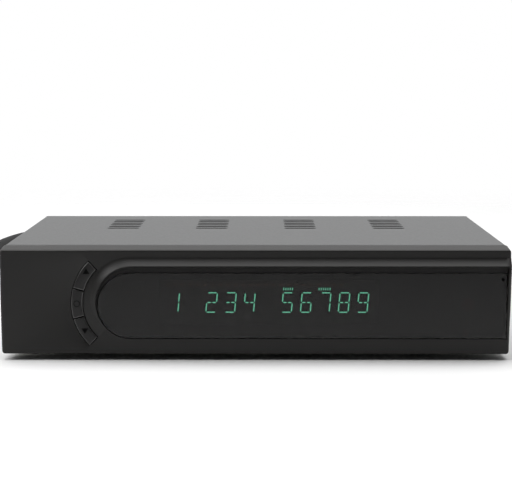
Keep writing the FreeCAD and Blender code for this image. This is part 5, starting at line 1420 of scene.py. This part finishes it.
@dataclass
class RearPrint:
    """Print on the bright rear panel: a field of dots, plain frames and bare labels.

    An area is its left, right, low and high edge; tabs are the tops of the labels in the
    frames. The dots start at the low left of spread and stay inside the limits, margin away
    from the frames and the other areas, and out of the rounds, each x, z and radius.
    """

    y: float = 53.87
    bottom: float = -0.01
    thick: float = 0.02
    pitch: tuple = (1.51, 1.56)
    dot: float = 0.3
    line: float = 0.38
    fine_line: float = 0.16
    limits: tuple = (-87.6, 87.6, 4.0, 37.6)
    spread: tuple = ((-87, 87.5), (4.6, 37.5))
    margin: float = 0.6
    frames: tuple = ((58.7, 73.2, 5.2, 25.5), (44.5, 55.7, 5.2, 27.5), (21.4, 41.4, 5.2, 19.0),
                     (5.0, 18.9, 5.1, 23.4))
    tabs: tuple = (9.2, 8.2, 8.2, 9.1)
    long_frame: tuple = ((-50.2, 8.5), (-3.0, 8.5), (1.6, 27.7), (-50.2, 27.7))
    long_label: tuple = (-31.1, -17.4, 5.2, 8.5)
    plates: tuple = ((-61.9, -37.5, 28.8, 35.2), (-79.0, -51.1, 3.8, 15.2))
    areas: tuple = ((-50.2, 1.4, 8.5, 27.7), (-76.5, -64.7, 24.3, 39), (-61.9, -31.5, 28.8, 35.4),
                    (-79.3, -50.8, 3.8, 20.9))
    rounds: tuple = ((-84.8, 17.2, 6), (84.8, 17.2, 6), (16.4, 35.6, 5.6), (-24.7, 30.6, 4.2))

    def clear(self, x: np.ndarray, z: np.ndarray) -> np.ndarray:
        """Where a dot may be printed: off every frame, socket, label and screw.

        Args:
            x: places to the right.
            z: heights.

        Returns:
            True or False for each place.
        """
        left, right, low, high = self.limits
        free = (x > left) & (x < right) & (z > low) & (z < high)
        gap = self.margin
        for left, right, low, high in (*self.frames, *self.areas, self.long_label):
            free &= ~((x > left - gap) & (x < right + gap) & (z > low - gap) & (z < high + gap))
        for centre_x, centre_z, radius in self.rounds:
            free &= np.hypot(x - centre_x, z - centre_z) > radius
        return free

    def dots(self, shape: Surface) -> None:
        """Six-sided dots, rows shifted by half a pitch in turn.

        Args:
            shape: the surface that they are added to.
        """
        step_x, step_z = self.pitch
        across, up = self.spread
        x, z = np.meshgrid(np.arange(*across, step_x), np.arange(*up, step_z))
        x = x + (np.arange(len(x)) % 2)[:, None] * step_x / 2
        free = self.clear(x, z)
        spots = np.column_stack([x[free], z[free]])
        for spot in spots:
            self.filled(shape, disc(*spot, self.dot, 6))
        LOG.info("%d printed dots", len(spots))

    def outlined(self, shape: Surface, outline: np.ndarray, line: float) -> None:
        """A closed line along an outline."""
        low, top = self.y + self.bottom, self.y + self.thick
        shape.band(rings(outline, [(0, low), (0, top), (line, top), (line, low), (0, low)]))

    def filled(self, shape: Surface, outline: np.ndarray) -> None:
        """A filled area inside an outline."""
        shape.tube(rings(outline, [(0, self.y + self.bottom), (0, self.y + self.thick)]))

    def make(self) -> None:
        """All print as one piece; label tabs stay bare."""
        shape = Surface()
        self.dots(shape)
        for area in self.frames:
            self.outlined(shape, rectangle(*area, 2.4), self.line)
        for (left, right, low, _), high in zip(self.frames, self.tabs):
            self.filled(shape, rectangle(left + 0.05, right - 0.05, low + 0.05, high,
                                         (2.3, 2.3, 0.1, 0.1)))
        self.outlined(shape, eased(self.long_frame, 3.2), self.line)
        self.filled(shape, rectangle(*self.long_label, 0.7))
        for area in self.plates:
            self.outlined(shape, rectangle(*area, 0.5), self.fine_line)
        shape.piece("rear_print", [INK], "socket_plastic")


@dataclass
class StrainRelief:
    """Ribbed rubber boot where the lead leaves: clamp block, collar and tapered ribs."""

    block: tuple = (-75.95, -65.25, 24.85, 38.15)
    steps: tuple = ((1.0, 51.05), (0.8, 51.2), (0.8, 53.6), (0, 54.6), (0, 58.1), (0.15, 58.45),
                    (0.5, 58.65))
    path: tuple = ((-70.6, 58.2, 31.5), (-70.62, 61.5, 31.3), (-70.65, 65.5, 30.7),
                   (-70.75, 69.0, 30.15), (-71.1, 71.6, 29.9), (-72.0, 73.3, 29.82),
                   (-73.6, 74.6, 29.8), (-75.2, 76.4, 29.75))
    root: float = 5.0
    taper: float = 1.1
    ribs: int = 7
    groove: float = 1.2
    grooved: tuple = (0.1, 0.74)
    collar: tuple = (0.78, 0.12)
    mouth: tuple = (0.97, 12)
    blur: int = 13

    def section(self, at: float) -> np.ndarray:
        """Rib or groove: 5 - 1.1 s - 0.6 (1 + tanh(4 cos 14 pi s)), then a plain collar.

        The collar starts at a share and is taller by another; the mouth closes from a share
        on, by so much for each whole length.

        Args:
            at: share s of the length.

        Returns:
            (40, 2) points.
        """
        taper = self.root - self.taper * at
        wave = 0.5 + 0.5 * math.tanh(4 * math.cos(at * 2 * np.pi * self.ribs))
        ribbed = taper - self.groove * wave * (self.grooved[0] < at < self.grooved[1])
        end, fall = self.mouth
        radius = ribbed if at < end else taper - fall * (at - end)
        start, more = self.collar
        tall = radius * (1.0 + more * (start < at))
        return disc(0, 0, 1, 40) * (radius * 0.94, tall)

    def make(self) -> None:
        """The clamp block and the boot, whose path is blurred to a smooth bend, as one piece."""
        shape = Surface().tube(rings(rectangle(*self.block, 1.6), self.steps))
        share, fine = np.linspace(0, 1, len(self.path)), np.linspace(0, 1, 90)
        kernel = np.ones(self.blur) / self.blur
        path = [np.interp(fine, share, line) for line in np.array(self.path).T]
        path = [np.pad(line, self.blur // 2, mode="reflect", reflect_type="odd") for line in path]
        path = np.column_stack([np.convolve(line, kernel, "valid") for line in path])
        shape.tube(swept(path, self.section))
        shape.piece("lead_boot", [CORD], "cord_jacket", ["strain_relief"], sharp=45)


@dataclass
class MainsLead:
    """Free mains lead: out of the boot, down to the floor, round a coil and on to its plug."""

    radius: float = 2.8
    lead: tuple = ((-73.3, 74.25, 29.8), (-83.25, 88.0, 29.4), (-103.4, 88.2, 27.5),
                   (-120.2, 100.4, 21.0), (-126.0, 120.2, 13.5), (-119.6, 139.6, 7.0),
                   (-104.4, 151.0, 3.6), (-86.0, 149.6, 3.0))
    coil: tuple = (-40.0, 108.0)
    turns: float = 6.25
    radii: tuple = (34.8, 29.2, 29.2, 34.8, 34.8, 29.2, 32.0, 32.0)
    heights: tuple = (2.9, 2.9, 8.5, 8.5, 14.1, 14.1, 12.6, 12.6)
    tail: tuple = ((-8.9, 95.5, 10.4), (-8.5, 80.8, 6.6), (1.0, 67.7, 3.6), (16.4, 62.7, 2.9),
                   (31.8, 67.7, 3.9), (41.3, 80.8, 6.85), (41.3, 97.5, 6.85))

    def points(self) -> np.ndarray:
        """All route points in millimetres, sixteen to a turn of the coil.

        A point of the coil is centre + r (cos t, sin t), t = pi/2 - 2 pi turns, with r and
        the height eased from one turn's place to the next: two turns lie side by side.

        Returns:
            (n, 3) points.
        """
        done = np.linspace(0, self.turns, int(self.turns * 16) + 1)
        radius, height = (np.interp(done, np.arange(8), row) for row in (self.radii, self.heights))
        turn = np.pi / 2 - 2 * np.pi * done
        winding = np.column_stack([self.coil + radius[:, None] * unit(turn), height])
        return np.vstack([self.lead, winding, self.tail])

    def make(self, plug: Made, pins: Made) -> None:
        """The lead as one open NURBS spline.

        Args:
            plug: the plug's body; not used.
            pins: its pins; not used.
        """
        points = self.points()
        curve = bpy.data.curves.new("mains_lead", "CURVE")
        curve.dimensions = "3D"
        curve.bevel_depth = self.radius * MM
        curve.bevel_resolution = 5
        curve.resolution_u = 6
        curve.render_resolution_u = 6
        curve.use_fill_caps = True
        spline = curve.splines.new("NURBS")
        spline.points.add(len(points) - 1)
        spline.points.foreach_set("co", np.insert(points * MM, 3, 1, axis=1).ravel())
        spline.order_u = 3
        spline.use_endpoint_u = True
        curve.materials.append(CORD.material())
        made = mounted("mains_lead", curve, "receiver", "cord_jacket",
                       ("mains_cord", "cord_coil", "cord_tail"))
        [v * MM for v in self.lead[0]]


@dataclass
class Plug:
    """Flat two-pin plug that lies on the floor, its pins sleeved near the body.

    outline and grips hold distances from its rear end and half widths there; bar is a grip
    bar's length along the plug, its height and its eased edge.
    """

    x: float = 41.3
    back: float = 96.0
    thick: float = 13.7
    outline: tuple = ((0, 6), (11.9, 8.4), (22.1, 17.5), (34, 17.5))
    edge: tuple = ((1.9, 0.0), (1.5, 0.0), (0.75, 0.25), (0.2, 0.85), (0, 1.8))
    grips: tuple = ((2.0, 4.2), (4.2, 4.7), (6.4, 5.2), (8.6, 5.7))
    bar: tuple = (1.0, 0.25, 0.04)
    pin_gap: float = 9.5
    pin_radius: float = 2.0
    pin_long: float = 19.0

    def body(self) -> Made:
        """The body with grip bars above and below.

        Returns:
            The piece.
        """
        along, half = np.array(self.outline, float).T
        right = np.column_stack([self.x + half, self.back + along])
        left = np.column_stack([self.x - half, self.back + along])[::-1]
        steps = [*self.edge, *((inset, self.thick - z) for inset, z in self.edge[::-1])]
        shape = Surface().tube(rings(eased(np.vstack([right, left]), 3.6, 9), steps, level))
        long, tall, ease = self.bar
        for at, wide in self.grips:
            y = self.back + at
            for z in (tall, self.thick - 2 * tall):
                shape.block((self.x - wide, self.x + wide), (y, y + long), (z, z + tall), ease)
        return shape.piece("plug_body_moulding", [CORD], "cord_jacket", ["plug_body"], sharp=50)

    def pins(self) -> Made:
        """The pins with their sleeves.

        Returns:
            The piece.
        """
        shape = Surface()
        r, long = self.pin_radius, self.pin_long
        sleeve = [(0, -1.0), (r * 0.9, -1.0), (r * 0.95, 0), (r * 0.95, 9.8), (r * 0.82, 10.0),
                  (0, 10.0)]
        tip = [(0, 9.9), (r * 0.82, 9.9), (r, 10.2), (r, long - 1.6), (r * 0.86, long - 0.7),
               (r * 0.5, long - 0.1), (0, long)]
        for x in (self.x - self.pin_gap, self.x + self.pin_gap):
            base = (x, self.back + self.outline[-1][0], self.thick / 2)
            shape.band(lathe(sleeve, base, Axis.REAR, 32), part=1)
            shape.band(lathe(tip, base, Axis.REAR, 32))
        return shape.piece("plug_contact_pins", [NICKEL, CORD], "nickel", ["plug_pins"])


COVER_SCREWS = PanScrews("cover_screw_set", BLACK_STEEL, "black_screw", "cover_screws", (
    (-84.8, 54.65, 17.2), (84.8, 54.65, 17.2), (16.4, 54.65, 35.6)), 2.75, 1.7, 1.5, 5.2)
SOCKET_SCREW = PanScrews("socket_screw", NICKEL, "nickel", "scart_screw", (
    (-24.7, 54.35, 30.6),), 2.2, 1.3, 1.3, 4.2)


# --------------------------------------------------------------------------- kept CAD nodes


KEPT = {
    COVER_GREY: ("top_cover",),
    BRIGHT_SHEET: ("chassis_base",),
    NICKEL: ("f_nut",),
    TIN: ("usb_shell", "hdmi_shell", "tuner_can"),
    WHITE_PLASTIC: ("usb_tongue", "wire_sockets", "ribbon_sockets", "ribbon_cable"),
    SOCKET_BLACK: ("hdmi_tongue", "rca_body", "fuse", "plunger_up", "plunger_ok",
                   "plunger_down", "switch_bodies"),
    PINK: ("f_insulator",),
    GREEN_BOARD: ("main_board", "front_board"),
    BROWN_BOARD: ("power_board",),
    CHIP: ("main_chip", "memory_chips", "ir_receiver"),
    ALUMINIUM: ("heat_sink",),
    ZINC: ("board_screws", "front_board_screws", "front_panel_screws"),
    BRASS: ("board_standoffs",),
    SLEEVE: ("board_capacitors", "output_capacitors"),
    YELLOW: ("mains_capacitor", "safety_capacitors", "transformer_winding"),
    FERRITE: ("power_inductors", "transformer_core", "line_choke"),
    WIRE: ("power_harness",),
    TUBE_GLASS: ("display_tube",),
    LAMP: ("status_led",),
}


def dress_kept_nodes() -> None:
    """Gives every kept CAD node its finish."""
    for finish, names in KEPT.items():
        LOG.info("%s: %s", finish.name, ", ".join(names))
        for name in names:
            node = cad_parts[name]
            if not node.material_slots:
                node.data.materials.append(finish.material())
            for place in node.material_slots:
                place.material = finish.material()


# --------------------------------------------------------------------------- studio


@dataclass
class Studio:
    """White floor, a broad lamp above and a soft one in front, and the camera."""

    place: tuple = (2.51, -607.85, 103.81)
    pitch: float = 6.39
    yaw: float = 0.236
    lens: float = 109.25

    def camera(self) -> None:
        """The camera, in front and a little above."""
        data = bpy.data.cameras.new("camera")
        data.lens = self.lens
        data.sensor_width = 36.0
        data.sensor_fit = "HORIZONTAL"
        data.clip_start = 0.01
        made = placed("camera", data)
        made.location = [v * MM for v in self.place]
        made.rotation_euler = (math.radians(90 - self.pitch), 0, math.radians(self.yaw))
        bpy.context.scene.camera = made

    def lamp(self, name: str, place: tuple, target: tuple, size: tuple, watts: float) -> None:
        """A flat lamp that looks at a target.

        Args:
            name: its name.
            place: where it stands, in metres.
            target: what it looks at, in metres.
            size: its sides, in metres.
            watts: its power.
        """
        data = bpy.data.lights.new(name, "AREA")
        data.shape = "RECTANGLE"
        data.size, data.size_y = size
        data.energy = watts
        made = placed(name, data)
        made.location = place
        way = Vector(target) - Vector(place)
        made.rotation_euler = way.to_track_quat("-Z", "Y").to_euler()

    def floor(self) -> None:
        """A pale floor that keeps the shadow."""
        finish = FadingFloor("floor_white", "#f4f4f4", "#f8f8f8", 0.9, 60.0, 0.0, gleam=0.0)
        mesh = bpy.data.meshes.new("floor")
        mesh.from_pydata([(-4, -3, 0), (4, -3, 0), (4, 6, 0), (-4, 6, 0)], [], [(0, 1, 2, 3)])
        mesh.materials.append(finish.material())
        made = placed("floor", mesh)
        made.location = (0, 0, -0.0002)

    def world(self) -> None:
        """A room that is white to the eye, bright behind and above, dim in front."""
        world = bpy.data.worlds.new("room")
        bpy.context.scene.world = world
        world.use_nodes = True
        tree = world.node_tree
        tree.nodes.clear()
        seen = add_node(tree, "ShaderNodeLightPath").outputs["Is Camera Ray"]
        way = add_node(tree, "ShaderNodeTexCoord").outputs["Generated"]
        parts = add_node(tree, "ShaderNodeSeparateXYZ", links={0: way})
        strength = add_node(tree, "ShaderNodeMapRange",
                            {"From Min": -0.5, "From Max": 0.9, "To Min": 0.06, "To Max": 0.88},
                            {"Value": parts.outputs["Y"]}).outputs["Result"]
        white = add_node(tree, "ShaderNodeBackground", {"Color": WHITE, "Strength": 1.0})
        room = add_node(tree, "ShaderNodeBackground", {"Color": WHITE}, {"Strength": strength})
        both = mixed(tree, seen, room, white)
        add_node(tree, "ShaderNodeOutputWorld", links={"Surface": both.outputs[0]})

    def make(self) -> None:
        """The studio round the object."""
        self.floor()
        self.world()
        self.lamp("lamp_above", (0, 0.15, 1.3), (0, 0, 0), (1.4, 1.0), 14)
        self.lamp("lamp_left", (-0.9, -0.15, 0.75), (0, 0, 0.02), (0.6, 0.6), 6.0)
        bpy.context.scene.view_settings.view_transform = "Standard"


def main() -> None:
    """Makes the whole visual model."""
    logging.basicConfig(level=logging.INFO)
    studio = Studio()
    studio.camera()
    plug = Plug()
    MainsLead().make(plug.body(), plug.pins())
    for part in (StrainRelief(), FrontPanel(), DisplayLens(), DisplayFigures(), SENSOR_WINDOWS,
                 PIN_HOLE, Keys(), FEET, COVER_SCREWS, SOCKET_SCREW, AERIAL_BARREL):
        part.make()
    toothed_washer()
    for part in (AUDIO_RING, FLAT_WASHER, LongSocket()):
        part.make()
    data_contacts()
    mitre_lines()
    RearPrint().make()
    dress_kept_nodes()
    studio.make()


if __name__ == "__main__":
    main()
